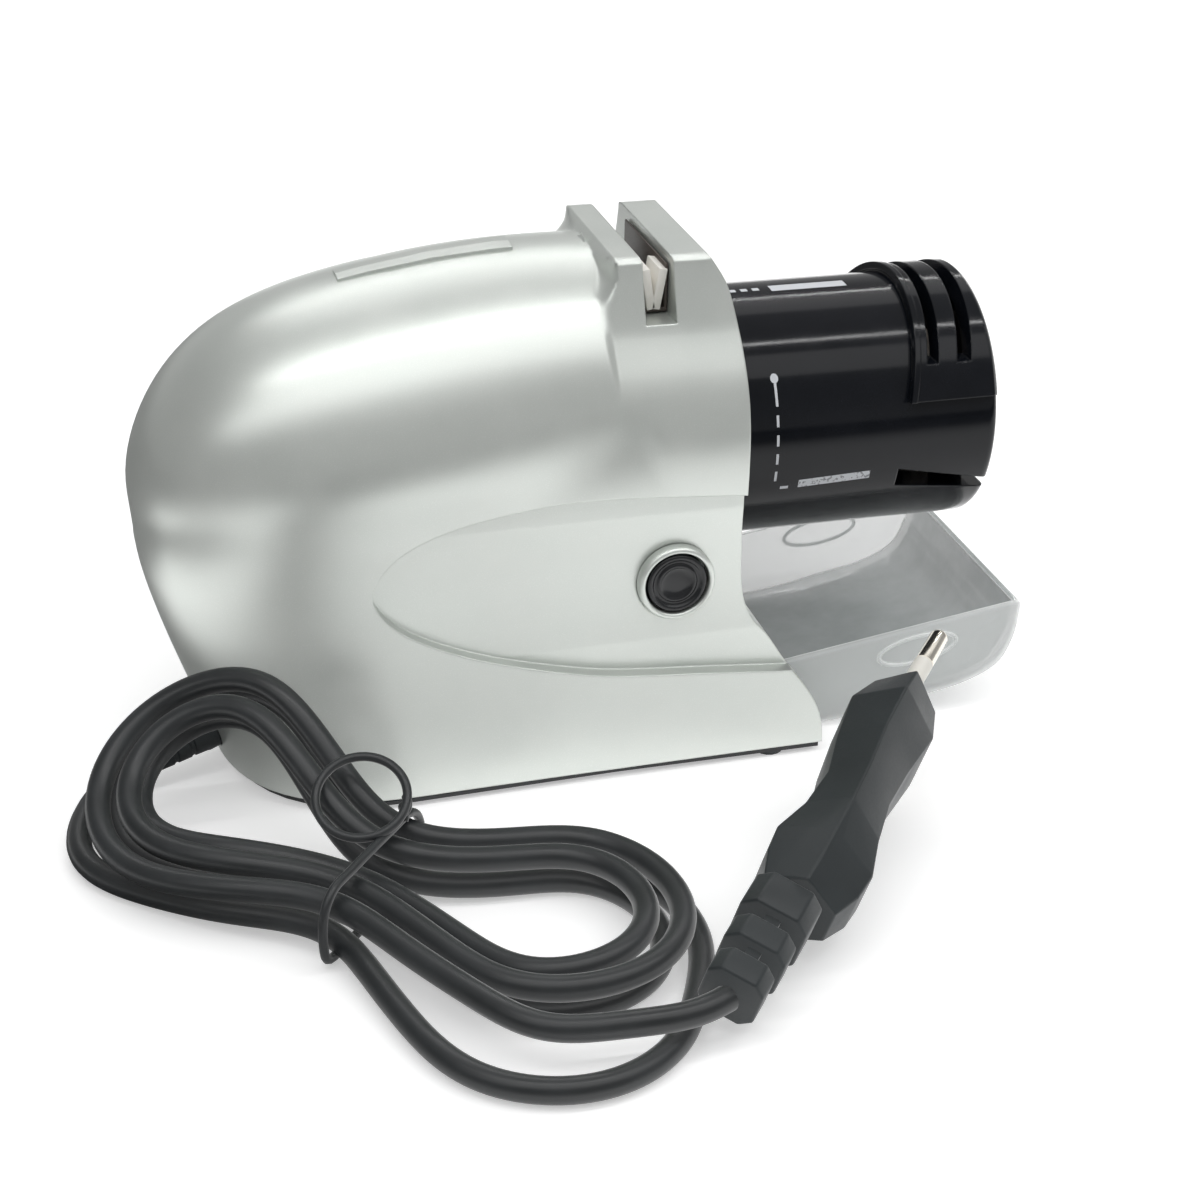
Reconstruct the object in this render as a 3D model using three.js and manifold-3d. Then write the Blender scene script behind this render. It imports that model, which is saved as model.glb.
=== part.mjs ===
// Electric knife sharpener: a barrel-nosed housing, a turning black sharpening head and a clear shavings tray.
// Millimetres, +Z up, +X towards the head, origin under the middle of the object on the table.
import * as THREE from 'three';
import { mergeVertices } from 'three/addons/utils/BufferGeometryUtils.js';
import Module from 'manifold-3d';

const wasm = await Module();
wasm.setup();

// Overall sizes
const noseReach = 95; // origin to the tip of the nose
const trayReach = 95; // origin to the front of the tray
const baseHalf = 42.8; // widest half-width, at the base
const topHeight = 107; // top of the knife guide
const wall = 2.4; // housing wall
const overrun = 4; // how far a cut runs past a face
const fit = 0.3; // gap between pieces that touch
const slide = 0.5; // gap between pieces that slide or turn

// Base plate and pads
const padHeight = 0.8;
const padRadius = 5;
const frontPadRadius = 3.1;
const plateFlange = 0.9;
const plateUpper = 1.3;
const plateInset = 0.6;
const plateBottom = padHeight + fit;
const housingBottom = plateBottom + plateFlange + fit;
const plateTop = housingBottom + plateUpper;

// Sharpening head
const axisHeight = 0.6075 * topHeight; // motor, wheel and head share this axis
const mouthX = 0.318 * noseReach; // front face of the housing round the head
const headRadius = 27.1;
const headWall = 2.2;
const headLength = 56.1;
const headStart = mouthX + slide + 0.6 * fit;
const headEnd = headStart + headLength;
const rimRadius = 1.6;
const padRise = 1.8; // thickness of the raised slot pad
const padLength = 20.4;
const padStart = headEnd - padLength;
const padLowAbove = 9;
const padLow = axisHeight + padLowAbove; // height at which the raised pad ends
const knifeSlotAbove = 16;
const knifeSlotFloor = axisHeight + knifeSlotAbove;
const rearSlotBack = 16.4; // from the end of the head
const rearSlotStart = headEnd - rearSlotBack;
const rearSlotWidth = 2.6;
const frontSlotBack = 9.6;
const frontSlotStart = headEnd - frontSlotBack;
const frontSlotWidth = 3.2;
const slotLean = 0.22; // slope of the knife slots and of the pad's rear edge
const sideSlotLength = 22;
const sideSlotStart = headEnd - sideSlotLength; // open slot for a screwdriver, falling towards the rim
const sideSlotBelow = 6.3;
const sideSlotHigh = axisHeight - sideSlotBelow;
const sideSlotWidth = 4.4;
const sideSlotFall = 5.8;
const sideSlotMouth = 2.2; // width at the rim
const sideSlotDepth = 10.5;
const sideSlotBlock = 2.2; // wall of the block behind the side slot
const chuteBack = 17.5;
const chuteLength = 9;
const chuteStart = headEnd - chuteBack;
const chuteEnd = chuteStart + chuteLength;
const chuteHalf = 11;
const spigotRadius = 23;
const ringDepth = 10.6;
const ringStart = mouthX - ringDepth;
const ringEnd = mouthX - 0.7 * fit;
const spigotStart = ringStart + 1.4 * (slide + slide);

// Motor, shaft and wheel
const canRadius = 17.5;
const canStart = -44;
const canEnd = 6;
const canWall = 1.5;
const capThickness = 2.4;
const shaftRadius = 2.5;
const shaftStart = -50;
const shaftBack = 4; // shaft end to the end of the head
const shaftEnd = headEnd - shaftBack;
const bushRadius = 4.3;
const armatureRadius = 11.8;
const armatureStart = -33;
const armatureEnd = -4;
const magnetThickness = 3;
const commutatorRadius = 5.6;
const commutatorStart = -41;
const commutatorLength = 6.4;
const brushLength = 6.4;
const brushWidth = 4;
const wheelRadius = 18;
const wheelBack = 14.6;
const wheelStart = headEnd - wheelBack;
const wheelThickness = 6.4;
const wheelBevel = 1.4;
const hubRadius = 5;
const hubFlange = 8;
const hubLength = 3.8; // from the hub's rear face to the wheel
const hubStart = wheelStart - hubLength;
const nutLength = 3;
const bracketThickness = 2.6;
const bracketHalf = 0.37 * baseHalf;
const bracketAbove = 19;
const bracketTop = axisHeight + bracketAbove;
const bracketFoot = 18;
const screwShank = 1.3;
const screwHead = 2.4;
const screwHeadHeight = 1.6;
const cradleStart = -30;
const cradleThickness = 3;
const cradleHalf = 15;
const cradleBelow = 7;
const cradleTop = axisHeight - cradleBelow;

// Button and switch
const buttonBack = 16.4; // button centre to the mouth
const buttonX = mouthX - buttonBack;
const buttonHeight = 0.387 * topHeight;
const buttonRadius = 6.5;
const bezelRadius = 8.3;
const bezelWall = 1.4;
const bezelProud = 1.3;
const buttonTravel = 2;
const switchBack = 8.3;
const switchFore = 4.6;
const switchStart = buttonX - switchBack;
const switchEnd = buttonX + switchFore;
const switchHeight = 17;
const switchDepth = 8;

// Knife guide on top
const guideStart = 2.2; // face where the guide steps up from the barrel
const guideSlotStart = 8.7;
const guideSlotWidth = 6.5;
const guideSlotDepth = 12.4;
const guideSlotFloor = topHeight - guideSlotDepth;
const guideSlotWall = 2.3;
const holderLength = 17;
const holderWall = 0.8;
const holderHeight = 8.6;
const holderNear = 17.4; // near end of the honing holder, measured from the middle plane
const honeThickness = 1;
const honeHeight = 7;
const honeLength = 8;
const honeLean = 0.1; // radians

// Tray
const trayHalf = 0.729 * baseHalf;
const trayWall = 1.6;
const trayInset = 3.2; // how far the closed tray reaches in behind the mouth
const trayStart = mouthX - trayInset;
const trayBottom = 0.9;
const trayRim = 25.8;
const railProud = 1.7;
const railLength = 17;
const railThickness = 1.4;

// Side panels: inner faces lean out as they go down, and so does the floor of the almond recess
const panelHeight = 0.5607 * topHeight;
const panelHalf = 0.729 * baseHalf;
const panelLean = 0.045;
const recessFloor = 0.778 * baseHalf;

// Top plate
const topPlateRise = 0.7;
const topPlateHalf = 3.6;
const topPlateStart = -50;
const topPlateEnd = -14;
const topPlateWall = 1.2;

// Mains cord and plug
const cordDiameter = 5;
const cordGap = 1.15; // between turns of the hank
const tieDiameter = 1.8;
const plugElevation = 0.16; // radians, how the standing plug rises towards its pins
const plugAzimuth = 0.85;
const plugTilt = 0.32;
const reliefLength = 25.5;
const plugLength = 60;
const plugHalfWidth = 16;
const plugHalfThickness = 7.4;
const pinRadius = 2;
const pinLength = 19;
const sleeveLength = 8;
const pinSpacing = 18.6;
const glandLength = 22;
const glandFlange = 5.2;

// Materials
const paint = (color, roughness, metalness) => new THREE.MeshStandardMaterial({ color, roughness, metalness });
const silver = paint(0xc8cec6, 0.38, 0.6);
const black = paint(0x15181b, 0.25, 0);
const darkPlastic = paint(0x2b2e30, 0.55, 0);
const rubber = paint(0x2e3335, 0.6, 0);
const clear = new THREE.MeshStandardMaterial({ color: 0xdfe4e2, roughness: 0.1, transparent: true, opacity: 0.4 });
const steel = paint(0xb9bcbd, 0.3, 1);
const nickel = paint(0xd9d6c8, 0.25, 1);
const brass = paint(0xb8954a, 0.35, 1);
const white = paint(0xf0efea, 0.5, 0);
const stone = paint(0x8d8579, 0.95, 0);
const copper = paint(0xa65a32, 0.4, 1);
const magnet = paint(0x3a3a3d, 0.8, 0);
const board = paint(0x7d8f4e, 0.6, 0);
const brown = paint(0x5d4f48, 0.6, 0);

// Solids
const X = new THREE.Vector3(1, 0, 0);
const Y = new THREE.Vector3(0, 1, 0);
const Z = new THREE.Vector3(0, 0, 1);
const vec = (x, y, z) => new THREE.Vector3(x, y, z);

// Closed solid of a geometry, with its faces turned outwards
function solid(geometry) {
  const bare = geometry.clone();
  bare.deleteAttribute('normal');
  bare.deleteAttribute('uv');
  const merged = mergeVertices(bare, 1e-4);
  const vertProperties = new Float32Array(merged.attributes.position.array);
  const triVerts = new Uint32Array(merged.index.array);
  const made = new wasm.Manifold(new wasm.Mesh({ numProp: 3, vertProperties, triVerts }));
  if (made.volume() > 0) return made;
  for (let i = 0; i < triVerts.length; i += 3) {
    [triVerts[i + 1], triVerts[i + 2]] = [triVerts[i + 2], triVerts[i + 1]];
  }
  return new wasm.Manifold(new wasm.Mesh({ numProp: 3, vertProperties, triVerts }));
}

const root = new THREE.Group();

function add(name, shape, material) {
  const data = shape.getMesh();
  const geometry = new THREE.BufferGeometry();
  const n = data.numProp;
  const points = new Float32Array(data.numVert * 3);
  for (let i = 0; i < data.numVert; i++) {
    points.set(data.vertProperties.subarray(i * n, i * n + 3), i * 3);
  }
  geometry.setAttribute('position', new THREE.BufferAttribute(points, 3));
  geometry.setIndex(new THREE.BufferAttribute(new Uint32Array(data.triVerts), 1));
  geometry.computeVertexNormals();
  const mesh = new THREE.Mesh(geometry, material);
  mesh.name = name;
  root.add(mesh);
}

function box(x0, x1, y0, y1, z0, z1) {
  const geometry = new THREE.BoxGeometry(x1 - x0, y1 - y0, z1 - z0);
  return solid(geometry.translate((x0 + x1) / 2, (y0 + y1) / 2, (z0 + z1) / 2));
}

function rodX(radius, x0, x1, y = 0, z = axisHeight, sides = 28) {
  const geometry = new THREE.CylinderGeometry(radius, radius, x1 - x0, sides);
  return solid(geometry.rotateZ(-Math.PI / 2).translate((x0 + x1) / 2, y, z));
}

function rodY(radius, y0, y1, x, z, sides = 24) {
  const geometry = new THREE.CylinderGeometry(radius, radius, y1 - y0, sides);
  return solid(geometry.translate(x, (y0 + y1) / 2, z));
}

function rodZ(radius, z0, z1, x, y, sides = 16) {
  const geometry = new THREE.CylinderGeometry(radius, radius, z1 - z0, sides);
  return solid(geometry.rotateX(Math.PI / 2).translate(x, y, (z0 + z1) / 2));
}

// Solid of revolution round the main axis; the profile is a list of [x, radius] that closes on itself
function turnedX(profile, sides = 40) {
  const points = [...profile, profile[0]].map(([x, r]) => new THREE.Vector2(r, x));
  const geometry = new THREE.LatheGeometry(points, sides);
  return solid(geometry.rotateZ(-Math.PI / 2).translate(0, 0, axisHeight));
}

const outline = (points) => new THREE.Shape(points.map(([a, b]) => new THREE.Vector2(a, b)));

// Outline in x and z, carried from y0 to y1
function prismY(points, y0, y1) {
  const geometry = new THREE.ExtrudeGeometry(outline(points), { depth: y1 - y0, bevelEnabled: false });
  return solid(geometry.rotateX(Math.PI / 2).translate(0, y1, 0));
}

// Outline in y and z, carried from x0 to x1
function prismX(points, x0, x1) {
  const geometry = new THREE.ExtrudeGeometry(outline(points), { depth: x1 - x0, bevelEnabled: false });
  geometry.applyMatrix4(new THREE.Matrix4().makeBasis(Y, Z, X));
  return solid(geometry.translate(x0, 0, 0));
}

// Outline in x and y, carried from z0 to z1
function prismZ(points, z0, z1) {
  const geometry = new THREE.ExtrudeGeometry(outline(points), { depth: z1 - z0, bevelEnabled: false });
  return solid(geometry.translate(0, 0, z0));
}

// Skin over rings of equal count, closed by a fan at each end
function skin(rings) {
  const count = rings[0].length;
  const points = rings.flat();
  const faces = [];
  for (let i = 0; i + 1 < rings.length; i++) {
    for (let j = 0; j < count; j++) {
      const k = (j + 1) % count;
      const [a, b] = [i * count + j, i * count + k];
      faces.push(a, b, b + count, a, b + count, a + count);
    }
  }
  for (const [ring, first, turned] of [[rings[0], 0, true], [rings.at(-1), (rings.length - 1) * count, false]]) {
    const middle = points.length;
    points.push(ring.reduce((sum, p) => sum.add(p), vec(0, 0, 0)).divideScalar(count));
    for (let j = 0; j < count; j++) {
      const [a, b] = [first + j, first + (j + 1) % count];
      faces.push(...(turned ? [middle, b, a] : [middle, a, b]));
    }
  }
  const geometry = new THREE.BufferGeometry().setFromPoints(points);
  geometry.setIndex(faces);
  return geometry;
}

const skinSolid = (rings) => solid(skin(rings));

// Tube along a list of points, with straight end faces
function tube(points, radius, sides, caps = null) {
  const [first, last] = caps ?? [points[1].clone().sub(points[0]), points.at(-1).clone().sub(points.at(-2))];
  let side = vec(0, 0, 1);
  const rings = points.map((p, i) => {
    const before = points[Math.max(i - 1, 0)];
    const after = points[Math.min(i + 1, points.length - 1)];
    let along = after.clone().sub(before).normalize();
    if (i === 0) along = first.clone().normalize();
    if (i === points.length - 1) along = last.clone().normalize();
    side = side.clone().addScaledVector(along, -side.dot(along)).normalize();
    const other = along.clone().cross(side);
    return Array.from({ length: sides }, (_, j) => {
      const angle = (2 * Math.PI * (j + 0.5)) / sides;
      return p.clone().addScaledVector(side, radius * Math.cos(angle)).addScaledVector(other, radius * Math.sin(angle));
    });
  });
  return skinSolid(rings);
}

const mirrored = (points) => [...points, ...[...points].reverse().map(([a, b]) => [-a, b])];
const scaled = (table, a, b) => table.map(([p, q]) => [p * a, q * b]);

// Barrel: stations along x as shares of nose reach, top height, base half-width and top height twice
const barrelShares = [
  [0.06, 0.986, 0.768, 0.685, 0.37],
  [-0.06, 0.99, 0.789, 0.676, 0.36],
  [-0.18, 0.988, 0.815, 0.661, 0.345],
  [-0.32, 0.977, 0.832, 0.643, 0.33],
  [-0.46, 0.957, 0.833, 0.626, 0.32],
  [-0.58, 0.935, 0.813, 0.609, 0.315],
  [-0.69, 0.905, 0.768, 0.594, 0.32],
  [-0.78, 0.867, 0.7, 0.581, 0.335],
  [-0.85, 0.822, 0.615, 0.571, 0.36],
  [-0.905, 0.77, 0.514, 0.565, 0.392],
  [-0.945, 0.716, 0.405, 0.56, 0.432],
  [-0.972, 0.666, 0.29, 0.558, 0.47],
  [-0.991, 0.614, 0.16, 0.557, 0.512],
  [-1, 0.574, 0.03, 0.557, 0.545],
];

function barrel(inset, sides) {
  const rings = barrelShares.map(([x, crest, half, middle, low], i) => {
    const [cz, top, bottom] = [middle * topHeight, crest * topHeight - inset, low * topHeight + inset];
    const a = Math.max(half * baseHalf - inset, half * inset);
    return Array.from({ length: sides }, (_, j) => {
      const angle = (2 * Math.PI * j) / sides;
      const lift = Math.sin(angle) * (Math.sin(angle) > 0 ? Math.max(top - cz, inset / sides) : Math.max(cz - bottom, inset / sides));
      const reach = (noseReach - inset) / noseReach;
      return vec(x * noseReach * (x < 0 ? reach : 1), a * Math.cos(angle), cz + lift);
    });
  });
  return skinSolid(rings);
}

// Skirt: levels as shares of top height, half-width at the front and at the rear, and rear reach
const skirtShares = [
  [0.022, 0.955, 1, 0.844],
  [0.075, 0.931, 0.967, 0.866],
  [0.14, 0.9, 0.928, 0.893],
  [0.206, 0.873, 0.895, 0.919],
  [0.28, 0.849, 0.865, 0.946],
  [0.355, 0.829, 0.841, 0.97],
  [0.44, 0.817, 0.821, 0.989],
  [0.523, 0.815, 0.809, 0.98],
  [0.6, 0.817, 0.789, 0.948],
  [0.673, 0.804, 0.736, 0.9],
  [0.745, 0.753, 0.654, 0.82],
];
const skirtFrontShare = 0.58;
const skirtTurnShare = -0.47; // where the straight sides end and the rounded rear begins
const skirtPower = 2.6;
const skirtSteps = 12;

function skirtRing(z, front, rear, reach, inset) {
  const [wf, wr, xr] = [front * baseHalf - inset, rear * baseHalf - inset, -reach * noseReach + inset];
  const xt = skirtTurnShare * noseReach;
  const near = [[skirtFrontShare * noseReach, wf], [0, wf + (wr - wf) * 0.1]];
  for (let i = 0; i <= skirtSteps; i++) {
    const share = Math.sin((i / skirtSteps) * Math.PI / 2);
    near.push([xt + (xr - xt) * share, wr * (1 - share ** skirtPower) ** (1 / skirtPower)]);
  }
  const ring = [...near, ...near.slice(0, -1).reverse().map(([x, y]) => [x, -y])];
  return ring.map(([x, y]) => vec(x, y, z));
}

function skirt(inset) {
  const rings = skirtShares.map(([z, front, rear, reach], i) => {
    const last = i === skirtShares.length - 1;
    const height = i === 0 ? (inset ? -overrun : housingBottom) : z * topHeight - (last ? inset : 0);
    return skirtRing(height, front, rear, reach, inset);
  });
  return skinSolid(rings);
}

// Knife guide block: half outline in y and z as shares of base half-width and top height
const guideShares = [
  [0.813, 0.5], [0.817, 0.6], [0.804, 0.68], [0.767, 0.74], [0.713, 0.787], [0.642, 0.832], [0.58, 0.872],
  [0.535, 0.915], [0.498, 0.957], [0.478, 0.983], [0.458, 0.997], [0.42, 1],
];
// Front edge of the housing seen from the side, from the top down, in x and z
const frontShares = [
  [0.24, 1], [0.262, 0.975], [0.285, 0.945], [0.3, 0.905], [0.314, 0.85], [0.32, 0.76], [0.318, 0.6], [0.315, 0.45],
  [0.317, 0.34], [0.332, 0.29], [0.362, 0.25], [0.408, 0.187], [0.444, 0.145], [0.472, 0.1], [0.484, 0.055], [0.484, 0],
];
const guideCornerShare = 0.023;

function guide(inset) {
  const top = topHeight - inset;
  const half = scaled(guideShares, baseHalf, topHeight).map(([y, z]) => [y - inset, Math.min(z, top)]);
  const corner = guideCornerShare * topHeight;
  const start = guideStart + inset;
  const side = [
    [start, topHeight / 2 - overrun], [skirtFrontShare * noseReach, topHeight / 2 - overrun],
    [skirtFrontShare * noseReach, top], [start + corner, top], [start, top - corner],
  ];
  return prismX(mirrored(half), guideStart - overrun, skirtFrontShare * noseReach)
    .intersect(prismY(side, -baseHalf, baseHalf));
}

function frontCut(inset) {
  const edge = scaled(frontShares, noseReach, topHeight).map(([x, z]) => [x - inset, z]);
  const [top, bottom] = [topHeight + overrun, -2 * overrun];
  const points = [
    [-noseReach - overrun, bottom], [edge.at(-1)[0], bottom], ...edge.reverse(),
    [edge.at(-1)[0], top], [-noseReach - overrun, top],
  ];
  return prismY(points, -baseHalf - overrun, baseHalf + overrun);
}

const leaned = (half, z) => half + (panelHeight - z) * panelLean;

// Almond recess in each side, seen from the side, in x and z
const almondShares = [
  [-0.53, 0.428], [-0.515, 0.46], [-0.48, 0.495], [-0.42, 0.526], [-0.33, 0.552], [-0.23, 0.568], [-0.12, 0.578],
  [0, 0.578], [0.1, 0.574], [0.2, 0.568], [0.3, 0.561], [0.6, 0.545], [0.6, 0.17], [0.38, 0.182], [0.28, 0.19],
  [0.18, 0.198], [0.08, 0.205], [-0.02, 0.215], [-0.12, 0.233], [-0.23, 0.258], [-0.33, 0.287], [-0.42, 0.323],
  [-0.48, 0.357], [-0.515, 0.392],
];

function recess() {
  const cut = prismY(scaled(almondShares, noseReach, topHeight).reverse(), -2 * baseHalf, 2 * baseHalf);
  const keep = prismX(
    [[-leaned(recessFloor, 0), 0], [leaned(recessFloor, 0), 0],
      [leaned(recessFloor, topHeight), topHeight], [-leaned(recessFloor, topHeight), topHeight]],
    -2 * noseReach, 2 * noseReach);
  return cut.subtract(keep);
}

// Housing
const innerPanels = prismX(
  [[-leaned(panelHalf, -2 * overrun), -2 * overrun], [leaned(panelHalf, -2 * overrun), -2 * overrun],
    [leaned(panelHalf, panelHeight), panelHeight], [baseHalf, panelHeight + overrun], [baseHalf, topHeight],
    [-baseHalf, topHeight], [-baseHalf, panelHeight + overrun], [-leaned(panelHalf, panelHeight), panelHeight]],
  -noseReach, noseReach);
const outer = barrel(0, 36).add(skirt(0)).add(guide(0)).intersect(frontCut(0));
const inner = barrel(wall, 20).add(skirt(wall)).add(guide(wall)).intersect(frontCut(wall)).intersect(innerPanels);

const collarWall = 2.2;
const boreRadius = headRadius + slide + fit;
const trayOpenTop = 34;
const bossRadius = 3.4;
const bossTop = 22;
const bossPlaces = [
  [-0.5 * noseReach, -1], [-0.5 * noseReach, 1], [0.02 * noseReach, -1], [0.02 * noseReach, 1],
].map(([x, side]) => [x, side * (leaned(panelHalf, bossTop) - bossRadius / 2)]);
const glandPoint = vec(-0.856 * noseReach, -0.34 * baseHalf, 0.084 * topHeight);
const glandWay = vec(-0.91, -0.36, -0.2).normalize();

const slotBox = box(
  guideSlotStart - guideSlotWall, guideSlotStart + guideSlotWidth + guideSlotWall,
  -baseHalf, baseHalf, guideSlotFloor - guideSlotWall, topHeight + overrun).intersect(outer);
const collar = rodX(boreRadius + collarWall, ringStart - slide, headStart).intersect(outer);
let housing = outer.subtract(inner).add(slotBox).add(collar);
for (const [x, y] of bossPlaces) {
  housing = housing.add(rodZ(bossRadius, plateTop + fit, bossTop, x, y).intersect(outer));
}
housing = housing
  .subtract(box(guideSlotStart, guideSlotStart + guideSlotWidth, -baseHalf, baseHalf, guideSlotFloor, topHeight + overrun))
  .subtract(rodX(boreRadius, ringStart - 2 * slide - overrun, headStart + 2 * overrun))
  .subtract(box(trayStart - slide, noseReach, -leaned(panelHalf, 0), leaned(panelHalf, 0), -overrun, trayRim - 2 * railProud))
  .subtract(recess());
for (const side of [-1, 1]) {
  const face = side * leaned(recessFloor, buttonHeight);
  if (side < 0) {
    housing = housing.subtract(rodY(bezelRadius - bezelWall, face - overrun, face + 2 * overrun, buttonX, buttonHeight));
    housing = housing.subtract(rodY(bezelRadius + fit, face - overrun, face + bezelWall, buttonX, buttonHeight));
  }
}
for (const [x, y] of bossPlaces) {
  housing = housing.subtract(rodZ(screwShank + fit / 2, plateTop - overrun, bossTop - wall, x, y, 12));
}

// Top plate, laid into a shallow bed along the crest of the barrel
const topPlateOutline = (grow) => [
  [topPlateStart - grow, -topPlateHalf * 0.8 - grow], [topPlateEnd + grow, -topPlateHalf - grow],
  [topPlateEnd + grow, topPlateHalf + grow], [topPlateStart - grow, topPlateHalf * 0.8 + grow],
];
const crestBand = (from, to) => barrel(-to, 36).subtract(barrel(-from, 36));
const plateBed = prismZ(topPlateOutline(fit), topHeight * 0.8, 2 * topHeight).intersect(crestBand(-topPlateWall - fit, overrun));
housing = housing.subtract(plateBed);
add('top_plate', prismZ(topPlateOutline(0), topHeight * 0.8, 2 * topHeight)
  .intersect(crestBand(-topPlateWall, topPlateRise)), silver);

// Gland bore through the housing wall
function along(origin, way, profile, sides = 16) {
  const points = [...profile].map(([s, r]) => new THREE.Vector2(r, s));
  const geometry = new THREE.LatheGeometry(points, sides);
  geometry.applyQuaternion(new THREE.Quaternion().setFromUnitVectors(Y, way));
  return solid(geometry.translate(origin.x, origin.y, origin.z));
}
const glandNeck = 4.2;
const glandInside = 6;
const glandStart = -glandInside;
const glandDepth = 8; // how deep the flange seat is cut behind the wall
housing = housing.subtract(along(glandPoint, glandWay, [
  [-glandDepth, 0], [-glandDepth, glandNeck + fit], [overrun, glandNeck + fit], [overrun, 0]]));
housing = housing.subtract(along(glandPoint, glandWay, [
  [-glandDepth - overrun, 0], [-glandDepth - overrun, glandFlange + fit],
  [-wall - fit, glandFlange + fit], [-wall - fit, 0]]));
add('upper_housing', housing, silver);

// Base plate with the tray bay cut out, motor cradle and board posts
const plateRing = (grow, level) => skirtRing(0, skirtShares[level][1], skirtShares[level][2], skirtShares[level][3], grow)
  .map((p) => [p.x, p.y]);
const frontCutPlate = box(-2 * noseReach, frontShares.at(-1)[0] * noseReach - plateInset, -2 * baseHalf, 2 * baseHalf, 0, topHeight);
const innerFloor = prismZ(plateRing(wall + slide, 0), plateTop - plateUpper - plateFlange, plateTop)
  .intersect(innerPanels)
  .intersect(prismX([[-leaned(panelHalf, 0) + slide, 0], [leaned(panelHalf, 0) - slide, 0],
    [leaned(panelHalf, panelHeight / 4) - slide, panelHeight / 4], [-leaned(panelHalf, panelHeight / 4) + slide, panelHeight / 4]],
  -noseReach, noseReach));
const boardBack = 8; // front posts of the board to the motor cradle
const boardPosts = [[-0.72 * noseReach, -1], [cradleStart - boardBack, -1], [-0.72 * noseReach, 1], [cradleStart - boardBack, 1]]
  .map(([x, side]) => [x, side * 0.3 * baseHalf]);
const boardLevel = 14;
const boardPost = 2.6;
let basePlate = prismZ(plateRing(plateInset, 0), plateBottom, plateBottom + plateFlange).add(innerFloor)
  .intersect(frontCutPlate)
  .add(box(cradleStart, cradleStart + cradleThickness, -cradleHalf, cradleHalf, plateTop - fit, cradleTop));
for (const [x, y] of boardPosts) {
  basePlate = basePlate.add(rodZ(boardPost, plateTop - fit, boardLevel - fit, x, y, 12));
}
const bracketScrewPlaces = [[bracketFoot * 0.18 - bracketFoot / 2, -0.25], [bracketFoot * 0.18 - bracketFoot / 2, 0.25]]
  .map(([x, y]) => [x, y * baseHalf]);
basePlate = basePlate
  .subtract(rodX(canRadius + fit, cradleStart - overrun, cradleStart + cradleThickness + overrun))
  .subtract(box(trayStart - 2 * slide, noseReach, -trayHalf - slide, trayHalf + slide, 0, topHeight));
for (const [x, y] of [...bossPlaces, ...bracketScrewPlaces]) {
  basePlate = basePlate.subtract(rodZ(screwShank + fit, 0, topHeight / 4, x, y, 12));
}
for (const [x, y] of bossPlaces) {
  basePlate = basePlate.subtract(rodZ(screwHead + fit, 0, plateBottom + plateFlange, x, y, 16));
}
add('base_plate', basePlate, darkPlastic);

const padPlaces = [[0.37, -0.86, frontPadRadius], [0.37, 0.86, frontPadRadius], [-0.6, -0.5, padRadius], [-0.6, 0.5, padRadius]];
padPlaces.forEach(([x, y, radius], i) => {
  add(`foot_${i + 1}`, rodZ(radius, 0, padHeight, x * noseReach, y * baseHalf), rubber);
});
bossPlaces.forEach(([x, y], i) => {
  const head = rodZ(screwHead, plateBottom + fit / 2, plateBottom + fit + plateFlange / 3, x, y, 12);
  const shank = rodZ(screwShank - fit / 3, plateBottom + fit, bossTop / 2, x, y, 10);
  add(`base_screw_${i + 1}`, head.add(shank), steel);
});

// Honing holder with its two leaning plates
const slotMiddle = guideSlotStart + guideSlotWidth / 2;
const holderHalf = guideSlotWidth / 2 - fit;
const holderBottom = guideSlotFloor + fit;
add('honing_holder', box(
  slotMiddle - holderHalf, slotMiddle + holderHalf, -holderNear, -holderNear + holderLength, holderBottom, holderBottom + holderHeight)
  .subtract(box(slotMiddle - holderHalf + holderWall, slotMiddle + holderHalf - holderWall,
    -holderNear - overrun, -holderNear + holderLength + overrun, holderBottom + holderWall, topHeight)), brown);
for (const [name, side] of [['honing_plate_left', -1], ['honing_plate_right', 1]]) {
  const geometry = new THREE.BoxGeometry(honeThickness, honeLength, honeHeight);
  geometry.rotateY(side * honeLean);
  const reach = (honeThickness * Math.cos(honeLean) + honeHeight * Math.sin(honeLean)) / 2;
  const rise = (honeHeight * Math.cos(honeLean) + honeThickness * Math.sin(honeLean)) / 2;
  geometry.translate(
    slotMiddle + side * (holderHalf - holderWall - fit / 2 - reach),
    -holderNear + honeLength / 2, holderBottom + holderWall + fit / 2 + rise);
  add(name, solid(geometry), white);
}

// Turning ring and sharpening sleeve
add('head_ring', turnedX([
  [ringStart, spigotRadius + slide], [ringEnd, spigotRadius + slide],
  [ringEnd, headRadius], [ringStart, headRadius]]), darkPlastic);

const shellInner = headRadius - headWall;
const sleeveProfile = [
  [spigotStart, spigotRadius - headWall], [headStart + headWall, spigotRadius - headWall],
  [headStart + headWall, shellInner], [headEnd - headWall, shellInner], [headEnd - headWall, 0], [headEnd, 0],
  [headEnd, headRadius - rimRadius], [headEnd - rimRadius / 3, headRadius - rimRadius / 3],
  [headEnd - rimRadius, headRadius], [headStart, headRadius], [headStart, spigotRadius], [spigotStart, spigotRadius],
];
let sleeve = turnedX(sleeveProfile);
const leanedSpan = (start, end, low) => prismY([
  [start, low], [end, low], [end + (topHeight - low) * slotLean, topHeight], [start + (topHeight - low) * slotLean, topHeight]],
-2 * headRadius, 2 * headRadius);
const padBlock = leanedSpan(padStart, headEnd, padLow);
sleeve = sleeve.add(turnedX([
  [padStart, headRadius - headWall / 2], [headEnd - rimRadius / 2, headRadius - headWall / 2],
  [headEnd - rimRadius / 2, headRadius + padRise / 2], [headEnd - 1.5 * rimRadius, headRadius + padRise],
  [padStart, headRadius + padRise]]).intersect(padBlock));
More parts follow.
